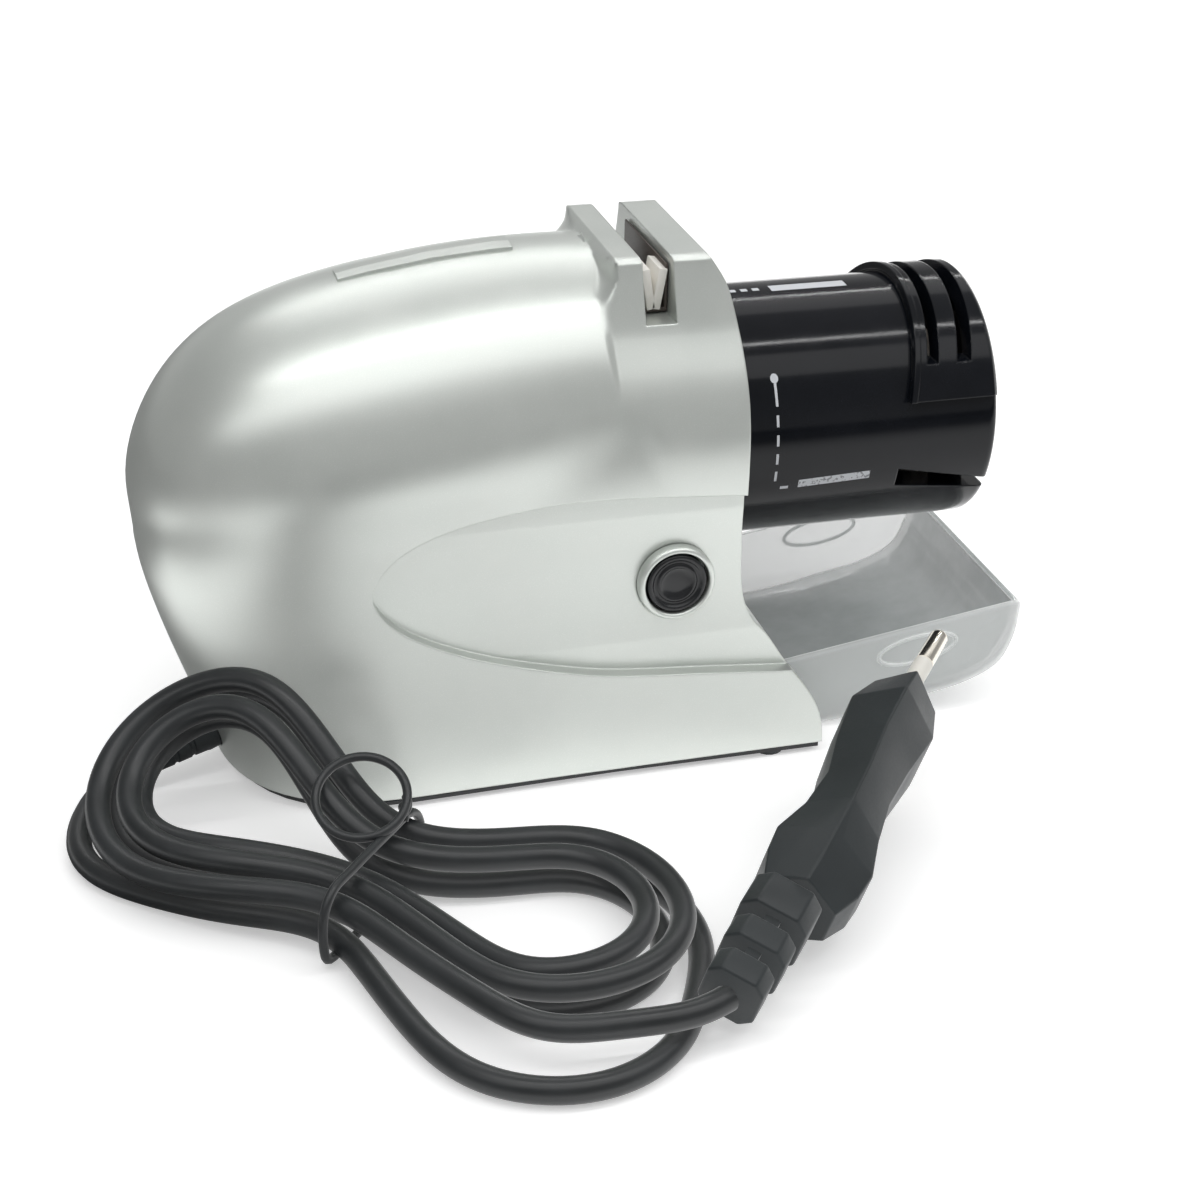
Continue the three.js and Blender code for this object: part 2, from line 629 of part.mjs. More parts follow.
const sideSlot = (grow, end, y0, y1) => prismY([
  [sideSlotStart - grow, sideSlotHigh - sideSlotWidth - grow], [end, sideSlotHigh - sideSlotMouth - sideSlotFall - grow],
  [end, sideSlotHigh - sideSlotFall + grow], [sideSlotStart - grow, sideSlotHigh + grow]], y0, y1);
const blockSpan = sideSlot(sideSlotBlock, headEnd - headWall / 2, -headRadius, -headRadius + sideSlotDepth).intersect(rodX(headRadius - headWall / 2, 0, headEnd))
  .subtract(rodX(wheelRadius + slide, 0, headEnd));
sleeve = sleeve.add(blockSpan)
  .subtract(box(chuteStart + headWall / 2, chuteEnd - headWall / 2, -chuteHalf + headWall / 2, chuteHalf - headWall / 2,
    0, axisHeight - spigotRadius / 2))
  .subtract(leanedSpan(rearSlotStart, rearSlotStart + rearSlotWidth, knifeSlotFloor))
  .subtract(leanedSpan(frontSlotStart, frontSlotStart + frontSlotWidth, knifeSlotFloor))
  .subtract(sideSlot(0, headEnd + overrun, -2 * headRadius, -headRadius + sideSlotDepth + overrun));
add('head_sleeve', sleeve, black);

// Shavings tray: side outline in x and z as shares of the reach and the rim height
const trayShares = [
  [0.47, 0.035], [0.62, 0.075], [0.78, 0.19], [0.88, 0.27], [0.957, 0.42], [0.99, 0.66], [1, 0.97],
];
const trayRearRim = 15.4;
const trayOuter = [[trayStart, trayBottom], ...scaled(trayShares, trayReach, trayRim), [trayReach, trayRim],
  [trayReach - trayWall, trayRim], [trayStart, trayRearRim]];
const trayCut = [[trayStart + trayWall, trayBottom + trayWall], ...scaled(trayShares, trayReach, trayRim)
  .map(([x, z]) => [x - trayWall, z + trayWall]), [trayReach - trayWall, 2 * trayRim], [trayStart + trayWall, 2 * trayRim]];
let tray = prismY(trayOuter, -trayHalf, trayHalf);
const railLow = plateTop + fit;
tray = tray.add(box(trayStart, trayStart + railLength, -trayHalf - railProud, trayHalf + railProud, railLow, railLow + railThickness));
tray = tray.subtract(prismY(trayCut, -trayHalf + trayWall, trayHalf - trayWall));
add('shavings_tray', tray, clear);

// Button
const buttonFace = -leaned(recessFloor, buttonHeight);
add('button_bezel', rodY(bezelRadius, buttonFace - bezelProud, buttonFace + bezelWall - fit, buttonX, buttonHeight)
  .subtract(rodY(bezelRadius - bezelWall, buttonFace - 2 * bezelProud - overrun, buttonFace + overrun, buttonX, buttonHeight)), silver);
const dish = buttonRadius * 0.62;
const capBack = buttonFace + wall + buttonTravel;
add('button_cap', rodY(buttonRadius, buttonFace - bezelProud / 2, buttonFace + wall, buttonX, buttonHeight)
  .add(rodY(buttonRadius / 2, buttonFace, capBack, buttonX, buttonHeight))
  .subtract(rodY(dish, buttonFace - 2 * bezelProud, buttonFace - bezelProud / 4, buttonX, buttonHeight)), black);
const switchFace = capBack + buttonTravel + slide;
const switchFront = -leaned(panelHalf, buttonHeight + switchHeight / 2) + fit;
add('switch_body', box(switchStart, switchEnd, switchFront, switchFace + switchDepth,
  buttonHeight - switchHeight / 2, buttonHeight + switchHeight / 2)
  .subtract(rodY(buttonRadius + slide, switchFront - overrun, switchFace, buttonX, buttonHeight)), darkPlastic);

// Motor
add('motor_can', rodX(canRadius, canStart, canEnd)
  .subtract(rodX(canRadius - canWall, canStart - overrun, canEnd - canWall))
  .subtract(rodX(bushRadius + fit, canStart, canEnd + overrun)), steel);
add('motor_end_cap', rodX(canRadius, canStart - fit - capThickness, canStart - fit)
  .subtract(rodX(shaftRadius + fit, canStart - overrun * 2, canStart + overrun)), darkPlastic);
add('shaft_bush_front', rodX(bushRadius, canEnd - canWall, canEnd + fit + bracketThickness)
  .subtract(rodX(shaftRadius + fit, canStart, canEnd + 2 * overrun)), brass);
for (const [name, side] of [['motor_magnet_upper', 1], ['motor_magnet_lower', -1]]) {
  const ring = rodX(canRadius - canWall - fit, armatureStart, armatureEnd)
    .subtract(rodX(canRadius - canWall - fit - magnetThickness, armatureStart - overrun, armatureEnd + overrun));
  const low = axisHeight + (side > 0 ? canRadius / 3 : -2 * canRadius);
  const high = axisHeight + (side > 0 ? 2 * canRadius : -canRadius / 3);
  add(name, ring.intersect(box(canStart, canEnd, -canRadius, canRadius, low, high)), magnet);
}
const bored = (shape) => shape.subtract(rodX(shaftRadius + fit, shaftStart - overrun, shaftEnd + overrun, 0, axisHeight, 24));
add('armature', bored(rodX(Math.min(armatureRadius, canRadius), armatureStart, armatureEnd)), copper);
add('commutator', bored(rodX(commutatorRadius, commutatorStart, commutatorStart + commutatorLength)), copper);
add('motor_shaft', rodX(shaftRadius, shaftStart, shaftEnd, 0, axisHeight, 20), steel);
for (const [name, side] of [['brush_near', -1], ['brush_far', 1]]) {
  const [a, b] = [side * (commutatorRadius + fit), side * (commutatorRadius + fit + brushLength)];
  const middle = commutatorStart + commutatorLength / 2;
  add(name, box(middle - brushWidth / 2, middle + brushWidth / 2, Math.min(a, b), Math.max(a, b),
    axisHeight - brushWidth / 2, axisHeight + brushWidth / 2), stone);
}
const hubEnd = wheelStart + wheelThickness + fit;
add('wheel_hub', bored(rodX(hubRadius, hubStart, hubEnd).add(rodX(hubFlange, hubStart, wheelStart - fit))), steel);
add('grinding_wheel', turnedX([
  [wheelStart, hubRadius + fit], [wheelStart + wheelThickness, hubRadius + fit],
  [wheelStart + wheelThickness, wheelRadius - wheelBevel], [wheelStart + wheelThickness - wheelBevel, wheelRadius],
  [wheelStart + wheelBevel, wheelRadius], [wheelStart, wheelRadius - wheelBevel]], 40), stone);
add('wheel_nut', bored(rodX(hubRadius, hubEnd + fit, hubEnd + fit + nutLength, 0, axisHeight, 6)), brass);

// Motor bracket, bolted to the can and to the base plate
const bracketX = canEnd + fit;
const footTop = plateTop + fit + bracketThickness;
const motorScrewOut = canRadius * 0.6;
const motorScrewTip = canEnd - canWall - fit;
let bracket = box(bracketX, bracketX + bracketThickness, -bracketHalf, bracketHalf, plateTop + fit, bracketTop)
  .add(box(-bracketFoot / 2, bracketX + bracketThickness, -bracketHalf, bracketHalf, plateTop + fit, footTop))
  .subtract(rodX(bushRadius + fit, canEnd - overrun, bracketX + 2 * overrun));
for (const side of [-1, 1]) {
  bracket = bracket.subtract(rodX(screwShank + fit, canEnd - overrun, bracketX + 2 * overrun, side * motorScrewOut, axisHeight, 12));
}
for (const [x, y] of bracketScrewPlaces) bracket = bracket.subtract(rodZ(screwShank + fit, 0, topHeight / 4, x, y, 12));
add('motor_bracket', bracket, steel);
[-1, 1].forEach((side, i) => {
  const face = bracketX + bracketThickness + fit;
  add(`motor_screw_${i + 1}`, rodX(screwHead, face, face + screwHeadHeight, side * motorScrewOut, axisHeight, 16)
    .add(rodX(screwShank, canEnd + fit, face + fit, side * motorScrewOut, axisHeight, 10)), steel);
});
bracketScrewPlaces.forEach(([x, y], i) => {
  add(`bracket_screw_${i + 1}`, rodZ(screwHead, footTop + fit, footTop + fit + screwHeadHeight, x, y, 16)
    .add(rodZ(screwShank, plateBottom + fit, footTop + 2 * fit, x, y, 10)), steel);
});

// Circuit board
const boardThickness = 1.6;
const boardSpan = [boardPosts[0][0] - boardPost, boardPosts[1][0] + boardPost, boardPosts[2][1] + boardPost];
add('circuit_board', box(boardSpan[0], boardSpan[1], -boardSpan[2], boardSpan[2], boardLevel, boardLevel + boardThickness), board);
const onBoard = boardLevel + boardThickness + fit;
const capacitorRadius = 5;
const capacitorHeight = 13;
const rectifierSize = 7;
add('capacitor', rodZ(capacitorRadius, onBoard, onBoard + capacitorHeight, boardSpan[0] + 2 * capacitorRadius, capacitorRadius), darkPlastic);
add('rectifier', box(boardSpan[1] - 1.5 * rectifierSize, boardSpan[1] - rectifierSize / 2, -rectifierSize, 0,
  onBoard, onBoard + rectifierSize), black);

// Gland with its tapered strain relief
const reliefTip = cordDiameter / 2 + 0.7 * fit;
add('cord_gland', along(glandPoint, glandWay, [
  [glandStart, 0], [glandStart, glandFlange - fit], [-wall - 3 * fit, glandFlange - fit], [-wall - 3 * fit, glandNeck],
  [1.5 * wall, glandNeck], [glandLength - overrun / 2, reliefTip], [glandLength, reliefTip], [glandLength, 0]]), rubber);

// Hank: two lobes and a drawn-in waist, wound outwards in, then inwards out on a second layer
const turnPitch = cordDiameter + cordGap;
const hankHalf = 64;
const leftLobe = 24.5;
const rightLobe = 31;
const waistHalf = 14;
const hankTilt = 0.55; // radians, how far the left lobe leans up against the housing
const [hankLeftX, hankLeftY] = [-98.5, -30];
const [hankBendX, hankBendY] = [-66, -86];
const [hankRightX, hankRightY] = [-0.5, -111];
const hankLeft = vec(hankLeftX, hankLeftY, 0);
const hankBend = vec(hankBendX, hankBendY, 0);
const hankRight = vec(hankRightX, hankRightY, 0);
const hankAxis = new THREE.QuadraticBezierCurve3(hankLeft, hankBend, hankRight);
const hankStart = 240; // degrees round the outline
const hankTurns = 25 / 6; // ends at the near side of the right lobe
const hankReverse = hankTurns / 2; // turn at which the spiral reverses and climbs
const hankClimbTurns = 0.5;
const hankSlack = 15.5; // how far the first loop hangs out of the right lobe
const hankSlackStart = 0.075; // in turns
const hankSlackSpan = 0.24;
const waistRise = 2.2; // the waist is lifted over the tie
const waistSpan = 26;
const stepsPerTurn = 24;
const ease = (s) => s * s * (3 - 2 * s);

function hankOutline(degrees) {
  const angle = ((degrees % 360) + 360) % 360;
  const side = angle > 180 ? -1 : 1;
  const half = angle > 180 ? 360 - angle : angle;
  if (half < 60) {
    const arc = half * 1.5 * Math.PI / 180;
    return [hankHalf - rightLobe + rightLobe * Math.cos(arc), side * rightLobe * Math.sin(arc)];
  }
  if (half > 120) {
    const arc = (180 - half) * 1.5 * Math.PI / 180;
    return [-hankHalf + leftLobe - leftLobe * Math.cos(arc), side * leftLobe * Math.sin(arc)];
  }
  const share = (half - 60) / 60;
  const u = (hankHalf - rightLobe) + (leftLobe - hankHalf - (hankHalf - rightLobe)) * share;
  const lobe = u > 0 ? rightLobe : leftLobe;
  const reach = Math.abs(u) / (hankHalf - lobe);
  return [u, side * (waistHalf + (lobe - waistHalf) * (1 - Math.cos(Math.PI * reach)) / 2)];
}

function hankPoint(degrees, inward, lift) {
  const [u, v] = hankOutline(degrees);
  const [ua, va] = hankOutline(degrees - 1);
  const [ub, vb] = hankOutline(degrees + 1);
  const long = Math.hypot(ub - ua, vb - va);
  const [us, vs] = [u - inward * (vb - va) / long, v + inward * (ub - ua) / long];
  const share = (us + hankHalf) / (2 * hankHalf);
  const middle = hankAxis.getPoint(share);
  const way = hankAxis.getTangent(Math.min(Math.max(share, 0), 1));
  const across = vec(-way.y, way.x, 0);
  const tilt = hankTilt * ease(Math.min(Math.max(-us / (hankHalf - leftLobe), 0), 1));
  const rise = cordDiameter / 2 + fit + waistRise * (1 - ease(Math.min(Math.abs(us) / waistSpan, 1)));
  return middle.addScaledVector(across, vs * Math.cos(tilt) - lift * Math.sin(tilt))
    .add(vec(0, 0, rise + lift * Math.cos(tilt) + (vs + leftLobe) * Math.sin(tilt)));
}

const hankSteps = Math.round(hankTurns * stepsPerTurn);
const hankPoints = Array.from({ length: hankSteps + 1 }, (_, i) => {
  const turn = hankTurns * i / hankSteps;
  const slackShare = Math.min(Math.max((turn - hankSlackStart) / hankSlackSpan, 0), 1);
  const inward = turnPitch * (turn < hankReverse ? turn : hankTurns - turn) - hankSlack * Math.sin(Math.PI * slackShare) ** 2;
  const climb = ease(Math.min(Math.max((turn - hankReverse) / hankClimbTurns + 0.5, 0), 1));
  return hankPoint(hankStart + 360 * turn, inward, climb * turnPitch);
});
const hankIn = hankPoints[1].clone().sub(hankPoints[0]).setZ(0).normalize();
const hankOut = hankPoints.at(-1).clone().sub(hankPoints.at(-2)).normalize();
hankPoints.unshift(hankPoints[0].clone().addScaledVector(hankIn, -cordDiameter));
hankPoints.push(hankPoints.at(-1).clone().addScaledVector(hankOut, cordDiameter));
add('cord_hank', tube(hankPoints, cordDiameter / 2, 6), rubber);

let leastGap = Infinity;
const fine = [];
for (let i = 0; i + 1 < hankPoints.length; i++) {
  for (let s = 0; s < 4; s++) fine.push(hankPoints[i].clone().lerp(hankPoints[i + 1], s / 4));
}
const runs = [0];
for (let i = 1; i < fine.length; i++) runs.push(runs[i - 1] + fine[i].distanceTo(fine[i - 1]));
for (let i = 0; i < fine.length; i++) {
  for (let j = i + 1; j < fine.length; j++) {
    if (runs[j] - runs[i] > 4 * cordDiameter) leastGap = Math.min(leastGap, fine[i].distanceTo(fine[j]) - cordDiameter);
  }
}
console.log('least gap of the hank to itself', leastGap.toFixed(2), 'mm, length', runs.at(-1).toFixed(0), 'mm');

// Plug frame: origin where the cord enters the strain relief
const plugAlong = vec(Math.cos(plugElevation) * Math.cos(plugAzimuth), Math.cos(plugElevation) * Math.sin(plugAzimuth), Math.sin(plugElevation));
const plugSide = plugAlong.clone().cross(Z).normalize();
const plugUp = plugSide.clone().cross(plugAlong).multiplyScalar(Math.cos(plugTilt)).addScaledVector(plugSide, Math.sin(plugTilt));
const plugThick = plugAlong.clone().cross(plugUp);
const [plugRootX, plugRootY, plugRootZ] = [-5.2, -131.2, 9.2];
const plugRoot = vec(plugRootX, plugRootY, plugRootZ);
const plugPoint = (s, w, t) => plugRoot.clone().addScaledVector(plugAlong, s).addScaledVector(plugUp, w).addScaledVector(plugThick, t);

// Flat plug body: stations along the plug, as shares of its length, half-width and half-thickness (size, then shift)
const plugShares = [
  [0, 0.55, 1, 0.25], [0.1, 0.64, 1.28, 0.27], [0.2, 0.72, 1.35, 0.25], [0.34, 0.8, 1.05, 0.25], [0.5, 0.9, 0.9, 0.18],
  [0.66, 1, 1.05, 0.05], [0.86, 1, 1.22, 0], [1, 0.86, 0.92, 0],
];
const plugFlatShare = 0.2; // share of the half-thickness that is left at the narrow edges
const plugBodyRings = plugShares.map(([s, w, t, shift]) => {
  const [at, half, thick] = [reliefLength + fit + s * plugLength, w * plugHalfWidth, t * plugHalfThickness];
  const edge = plugFlatShare * thick;
  return [
    [half, 0], [half * 0.9, edge], [half * 0.45, thick], [-half * 0.45, thick], [-half * 0.9, edge],
    [-half, 0], [-half * 0.9, -edge], [-half * 0.45, -thick], [half * 0.45, -thick], [half * 0.9, -edge],
  ].map(([a, b]) => plugPoint(at, a, b + shift * plugHalfThickness));
});
const plugFace = reliefLength + fit + plugLength;
const pinRoot = 6; // how deep the pins sit in the body
const plugRod = (radius, s0, s1, w, sides) => tube(
  [plugPoint(s0, w, 0), plugPoint((s0 + s1) / 2, w, 0), plugPoint(s1, w, 0)], radius, sides);
let plugBody = skinSolid(plugBodyRings);
for (const side of [-1, 1]) {
  plugBody = plugBody.subtract(plugRod(pinRadius + fit, plugFace - pinRoot, plugFace + overrun, side * pinSpacing / 2, 16));
}
add('plug_body', plugBody, rubber);
[1, -1].forEach((side, i) => {
  const w = side * pinSpacing / 2;
  const sleeveEnd = plugFace + sleeveLength;
  add(`pin_sleeve_${i + 1}`, plugRod(pinRadius, plugFace - pinRoot + fit, sleeveEnd, w, 16)
    .subtract(plugRod(pinRadius / 2, sleeveEnd - pinRoot, sleeveEnd + overrun, w, 12)), white);
  const tip = [plugPoint(plugFace + pinLength - pinRadius, w, 0), plugPoint(plugFace + pinLength, w, 0)];
  const taper = along(tip[0], plugAlong, [[-pinRadius / 2, 0], [-pinRadius / 2, pinRadius], [0, pinRadius],
    [pinRadius * 0.7, pinRadius * 0.8], [pinRadius, pinRadius / 3], [pinRadius, 0]], 16);
  add(`plug_pin_${i + 1}`, along(plugPoint(0, w, 0), plugAlong, [
    [sleeveEnd - pinRoot + fit, 0], [sleeveEnd - pinRoot + fit, pinRadius / 2 - fit], [sleeveEnd + fit, pinRadius / 2 - fit],
    [sleeveEnd + fit, pinRadius], [plugFace + pinLength - pinRadius, pinRadius], [plugFace + pinLength - pinRadius, 0]], 16)
    .add(taper), nickel);
});

// Ribbed strain relief with two rows of windows
const ribCount = 3;
let relief = plugRod(reliefTip, 0, reliefLength, 0, 12);
const ribStep = reliefLength / ribCount;
for (let i = 0; i < ribCount; i++) {
  const [s0, s1] = [i * ribStep, (i + 1 - 0.3 * (i + 1 < ribCount ? 1 : 0)) * ribStep];
  const grow = 1 + 0.1 * i;
  const ring = (s) => [[1, 0.6], [0.6, 1], [-0.6, 1], [-1, 0.6], [-1, -0.6], [-0.6, -1], [0.6, -1], [1, -0.6]]
    .map(([a, b]) => plugPoint(s, a * grow * plugHalfThickness * 0.8, b * grow * plugHalfThickness * 0.76));
  relief = relief.add(skinSolid([ring(s0), ring((s0 + s1) / 2), ring(s1)]));
  if (i + 1 < ribCount) {
    const link = (s) => [[1, 0.3], [-1, 0.3], [-1, -0.3], [1, -0.3]]
      .map(([a, b]) => plugPoint(s, a * grow * plugHalfThickness * 0.6, b * grow * plugHalfThickness * 0.6));
    relief = relief.add(skinSolid([link(s0), link(s1), link((i + 1) * ribStep + ribStep * 0.1)]));
  }
}
add('plug_strain_relief', relief, rubber);

// Free stretches of the cord, laid by hand
const freeTube = (points, from, fromWay, to, toWay) => {
  const start = from.clone().addScaledVector(fromWay, fit);
  const end = to.clone().addScaledVector(toWay, -fit);
  const curve = new THREE.CatmullRomCurve3(
    [start, start.clone().addScaledVector(fromWay, cordDiameter), ...points, end.clone().addScaledVector(toWay, -cordDiameter), end],
    false, 'centripetal');
  const steps = Math.round(curve.getLength() / (2 * cordDiameter)) * 2;
  return tube(curve.getSpacedPoints(steps), cordDiameter / 2, 8, [fromWay, toWay]);
};
const glandEnd = glandPoint.clone().addScaledVector(glandWay, glandLength);
const leadPoints = [vec(-109.5, -33.5, 3.9), vec(-113, -43, 3.5), vec(-112.5, -53, 3)];
add('cord_lead', freeTube(leadPoints, glandEnd, glandWay, hankPoints[0], hankIn), rubber);
const tailPoints = [vec(-20.5, -133.8, 9)];
add('cord_tail', freeTube(tailPoints, hankPoints.at(-1), hankOut, plugRoot, plugAlong), rubber);

// Closed tube through a loop of points
function ringTube(points, radius, sides) {
  const count = points.length;
  const middle = points.reduce((sum, p) => sum.add(p), vec(0, 0, 0)).divideScalar(count);
  const vertices = [];
  const faces = [];
  points.forEach((p, i) => {
    const way = points[(i + 1) % count].clone().sub(points[(i + count - 1) % count]).normalize();
    const out = p.clone().sub(middle);
    out.addScaledVector(way, -out.dot(way)).normalize();
    const other = way.clone().cross(out);
    for (let j = 0; j < sides; j++) {
      const angle = 2 * Math.PI * j / sides;
      vertices.push(p.clone().addScaledVector(out, radius * Math.cos(angle)).addScaledVector(other, radius * Math.sin(angle)));
      const [a, b] = [i * sides + j, i * sides + (j + 1) % sides];
      const [c, d] = [((i + 1) % count) * sides + j, ((i + 1) % count) * sides + (j + 1) % sides];
      faces.push(a, b, d, a, d, c);
    }
  });
  const geometry = new THREE.BufferGeometry().setFromPoints(vertices);
  geometry.setIndex(faces);
  return solid(geometry);
}

// Wire tie: a ring round the waist of the hank, twisted at a knot, and the free loop beyond it
const tieRadius = tieDiameter / 2;
const tieShift = -2.2;
const tieHalf = 18.8;
const tieLow = tieRadius + fit / 3;
const tieHigh = 16;
const tieShares = [
  [-1, 0.3], [-0.97, 0.75], [-0.8, 0.97], [-0.4, 1], [0.4, 1], [0.8, 0.97], [0.97, 0.75],
  [1, 0.3], [0.94, 0.06], [0.6, 0], [-0.6, 0], [-0.94, 0.06],
];
const tieWay = hankAxis.getTangent(0.5);
const tieAcross = vec(-tieWay.y, tieWay.x, 0);
const tieMiddle = hankAxis.getPoint(0.5).addScaledVector(tieAcross, tieShift);
const tiePoint = (v, z) => tieMiddle.clone().addScaledVector(tieAcross, v * tieHalf).add(vec(0, 0, tieLow + z * (tieHigh - tieLow)));
const loopRadius = 8.8;
const loopLift = 5;
const loopSteps = 14;
const knot = tiePoint(0.6, 1);
const loopUp = vec(0.234, 0.834, 0.5).normalize();
const loopSide = vec(-0.963, 0.27, 0).normalize();
const loopMiddle = knot.clone().addScaledVector(loopSide, 0.86 * loopRadius).add(vec(0, 0, loopLift));
const loopPoints = Array.from({ length: loopSteps }, (_, i) => {
  const angle = 2 * Math.PI * i / loopSteps;
  return loopMiddle.clone().addScaledVector(loopSide, -loopRadius * Math.cos(angle))
    .addScaledVector(loopUp, loopRadius * Math.sin(angle));
});
const knotEnds = [knot, loopPoints[0]];
add('cord_tie', ringTube(tieShares.map(([v, z]) => tiePoint(v, z)), tieRadius, 6)
  .add(ringTube(loopPoints, tieRadius, 6)).add(tube(knotEnds, 1.3 * tieRadius, 8)), rubber);

export default root;
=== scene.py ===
# Electric knife sharpener with its cord in a hank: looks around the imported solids.
from math import acos, cos, hypot, pi, radians, sin

import bmesh
import bpy
import numpy as np
from mathutils import Matrix, Vector


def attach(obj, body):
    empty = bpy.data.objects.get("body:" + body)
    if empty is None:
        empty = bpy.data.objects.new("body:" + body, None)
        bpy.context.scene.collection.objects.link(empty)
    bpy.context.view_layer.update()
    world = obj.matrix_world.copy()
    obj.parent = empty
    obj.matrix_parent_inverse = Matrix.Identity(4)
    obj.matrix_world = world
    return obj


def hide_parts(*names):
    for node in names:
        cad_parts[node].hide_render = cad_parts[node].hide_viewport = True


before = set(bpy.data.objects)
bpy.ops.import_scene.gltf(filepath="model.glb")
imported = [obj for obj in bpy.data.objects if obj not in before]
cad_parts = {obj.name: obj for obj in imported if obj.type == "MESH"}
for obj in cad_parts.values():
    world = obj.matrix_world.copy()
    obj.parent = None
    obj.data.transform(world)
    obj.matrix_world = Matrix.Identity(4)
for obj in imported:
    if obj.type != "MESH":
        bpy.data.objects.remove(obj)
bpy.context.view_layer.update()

MM = 0.001
METRE = 1000

# Camera, fitted to the photo
CAMERA_TURNS = (-15.86, 26.98, 1.14)
CAMERA_PLACE = Vector((-117.3, -437.6, 252.7))
FOCAL_LENGTH, SENSOR = 68.31, 36

# Housing
NOSE = 95
BASE_HALF = 42.8
TOP = 107
WALL = 2.4
HOUSING_BOTTOM = 2.3
AXIS = 65
PANEL_LEAN = 0.045
PANEL_LEVEL = 60
RECESS_FLOOR = 33.3
RECESS_CUT = 32.7
RECESS_WALL = 1.8
RECESS_LEVEL, RECESS_REACH, RECESS_HOLLOW = 42.5, 14, 0.7
GUIDE_START = 1.6
GUIDE_CORNER = 2
SLOT_START, SLOT_END, SLOT_FLOOR, SLOT_WALL = 8.7, 15.2, 94.6, 2.3
BORE, BORE_START, BORE_LENGTH = 27.9, 16, 50
BAY_START, BAY_END, BAY_HALF, BAY_TOP = 26.5, 95, 33.9, 22.4

# Button
BUTTON_X, BUTTON_LEVEL, BUTTON, BEZEL, BEZEL_WIDTH = 13.8, 41.4, 6.5, 8.3, 1.4

# Tray
TRAY_HALF, TRAY_WALL, TRAY_REACH, TRAY_START, TRAY_RIM, TRAY_REAR = 31.2, 1.6, 95, 27, 25.8, 15.4
TRAY_CLEARER = 29.5

# Cord
CORD = 5
PITCH = 6.15

# Tools: how far they reach past what they cut, and how near points of one seam lie
OUT = 60
SEAM = 0.004


# Making and changing pieces

def rest_tools():
    if bpy.context.mode != "OBJECT":
        bpy.ops.object.mode_set(mode="OBJECT")
    bpy.ops.object.select_all(action="DESELECT")


def pick(piece):
    rest_tools()
    piece.select_set(True)
    bpy.context.view_layer.objects.active = piece


def named(name):
    piece = bpy.context.object
    piece.name = piece.data.name = name
    return piece


def added(name, add, **settings):
    rest_tools()
    add(**settings)
    return named(name)


def modify(piece, kind, **settings):
    pick(piece)
    made = piece.modifiers.new(kind.title(), kind)
    for key, value in settings.items():
        setattr(made, key, value)
    bpy.ops.object.modifier_apply(modifier=made.name)
    return piece


def settle(piece):
    """Puts the piece's place into its mesh."""
    pick(piece)
    bpy.ops.object.transform_apply(location=True, rotation=True, scale=True)
    return piece


def cut(piece, *tools, operation="DIFFERENCE"):
    for tool in tools:
        modify(piece, "BOOLEAN", object=tool, operation=operation, solver="EXACT")
        bpy.data.objects.remove(tool)
    return piece


def join(piece, *others):
    return cut(piece, *others, operation="UNION")


def trim(piece, *tools):
    return cut(piece, *tools, operation="INTERSECT")


def gather(name, pieces):
    """One object of several loose bodies."""
    pick(pieces[0])
    for piece in pieces:
        piece.select_set(True)
    bpy.ops.object.join()
    return named(name)


def smooth(piece, degrees=35):
    pick(piece)
    bpy.ops.object.shade_smooth_by_angle(angle=radians(degrees))
    return piece


def soften(piece, width, segments=2, degrees=30):
    modify(piece, "BEVEL", width=width * MM, segments=segments, limit_method="ANGLE",
           angle_limit=radians(degrees), harden_normals=False)
    return smooth(piece, 40)


def ring_of(points, fill="NOTHING"):
    """A circle whose corners are set to the given points, left in edit mode."""
    rest_tools()
    bpy.ops.mesh.primitive_circle_add(vertices=len(points), radius=MM, fill_type=fill)
    piece = bpy.context.object
    for vertex, point in zip(piece.data.vertices, points):
        vertex.co = Vector(point) * MM
    bpy.ops.object.mode_set(mode="EDIT")
    bpy.ops.mesh.select_all(action="SELECT")
    return piece


def closed_shell(name):
    """Leaves edit mode with all faces looking outwards."""
    bpy.ops.mesh.select_all(action="SELECT")
    bpy.ops.mesh.normals_make_consistent(inside=False)
    bpy.ops.object.mode_set(mode="OBJECT")
    return named(name)


def loft(name, rings):
    """A ring extruded from outline to outline and closed at both ends."""
    piece = ring_of(rings[0])
    count = len(rings[0])
    for ring in rings[1:]:
        bpy.ops.mesh.extrude_region_move()
        shell = bmesh.from_edit_mesh(piece.data)
        shell.verts.ensure_lookup_table()
        for vertex, point in zip(shell.verts[-count:], ring):
            vertex.co = Vector(point) * MM
    bmesh.update_edit_mesh(piece.data)
    bpy.ops.mesh.edge_face_add()
    bpy.ops.mesh.select_all(action="DESELECT")
    shell = bmesh.from_edit_mesh(piece.data)
    shell.verts.ensure_lookup_table()
    for vertex in shell.verts[:count]:
        vertex.select = True
    shell.select_flush_mode()
    bmesh.update_edit_mesh(piece.data)
    bpy.ops.mesh.edge_face_add()
    return closed_shell(name)


def prism(name, outline, move):
    """A flat outline filled and extruded."""
    ring_of(outline, "NGON")
    bpy.ops.mesh.extrude_region_move(TRANSFORM_OT_translate={"value": Vector(move) * MM})
    return closed_shell(name)


def side_prism(name, outline, y0=-OUT, y1=OUT):
    return prism(name, [(x, y0, z) for x, z in outline], (0, y1 - y0, 0))


def end_prism(name, outline, x0=-2 * OUT, x1=2 * OUT):
    return prism(name, [(x0, y, z) for y, z in outline], (x1 - x0, 0, 0))


def block(name, x0, x1, y0, y1, z0, z1):
    corners = [(x0, y0), (x1, y0), (x1, y1), (x0, y1)]
    return prism(name, [(x, y, z0) for x, y in corners], (0, 0, z1 - z0))


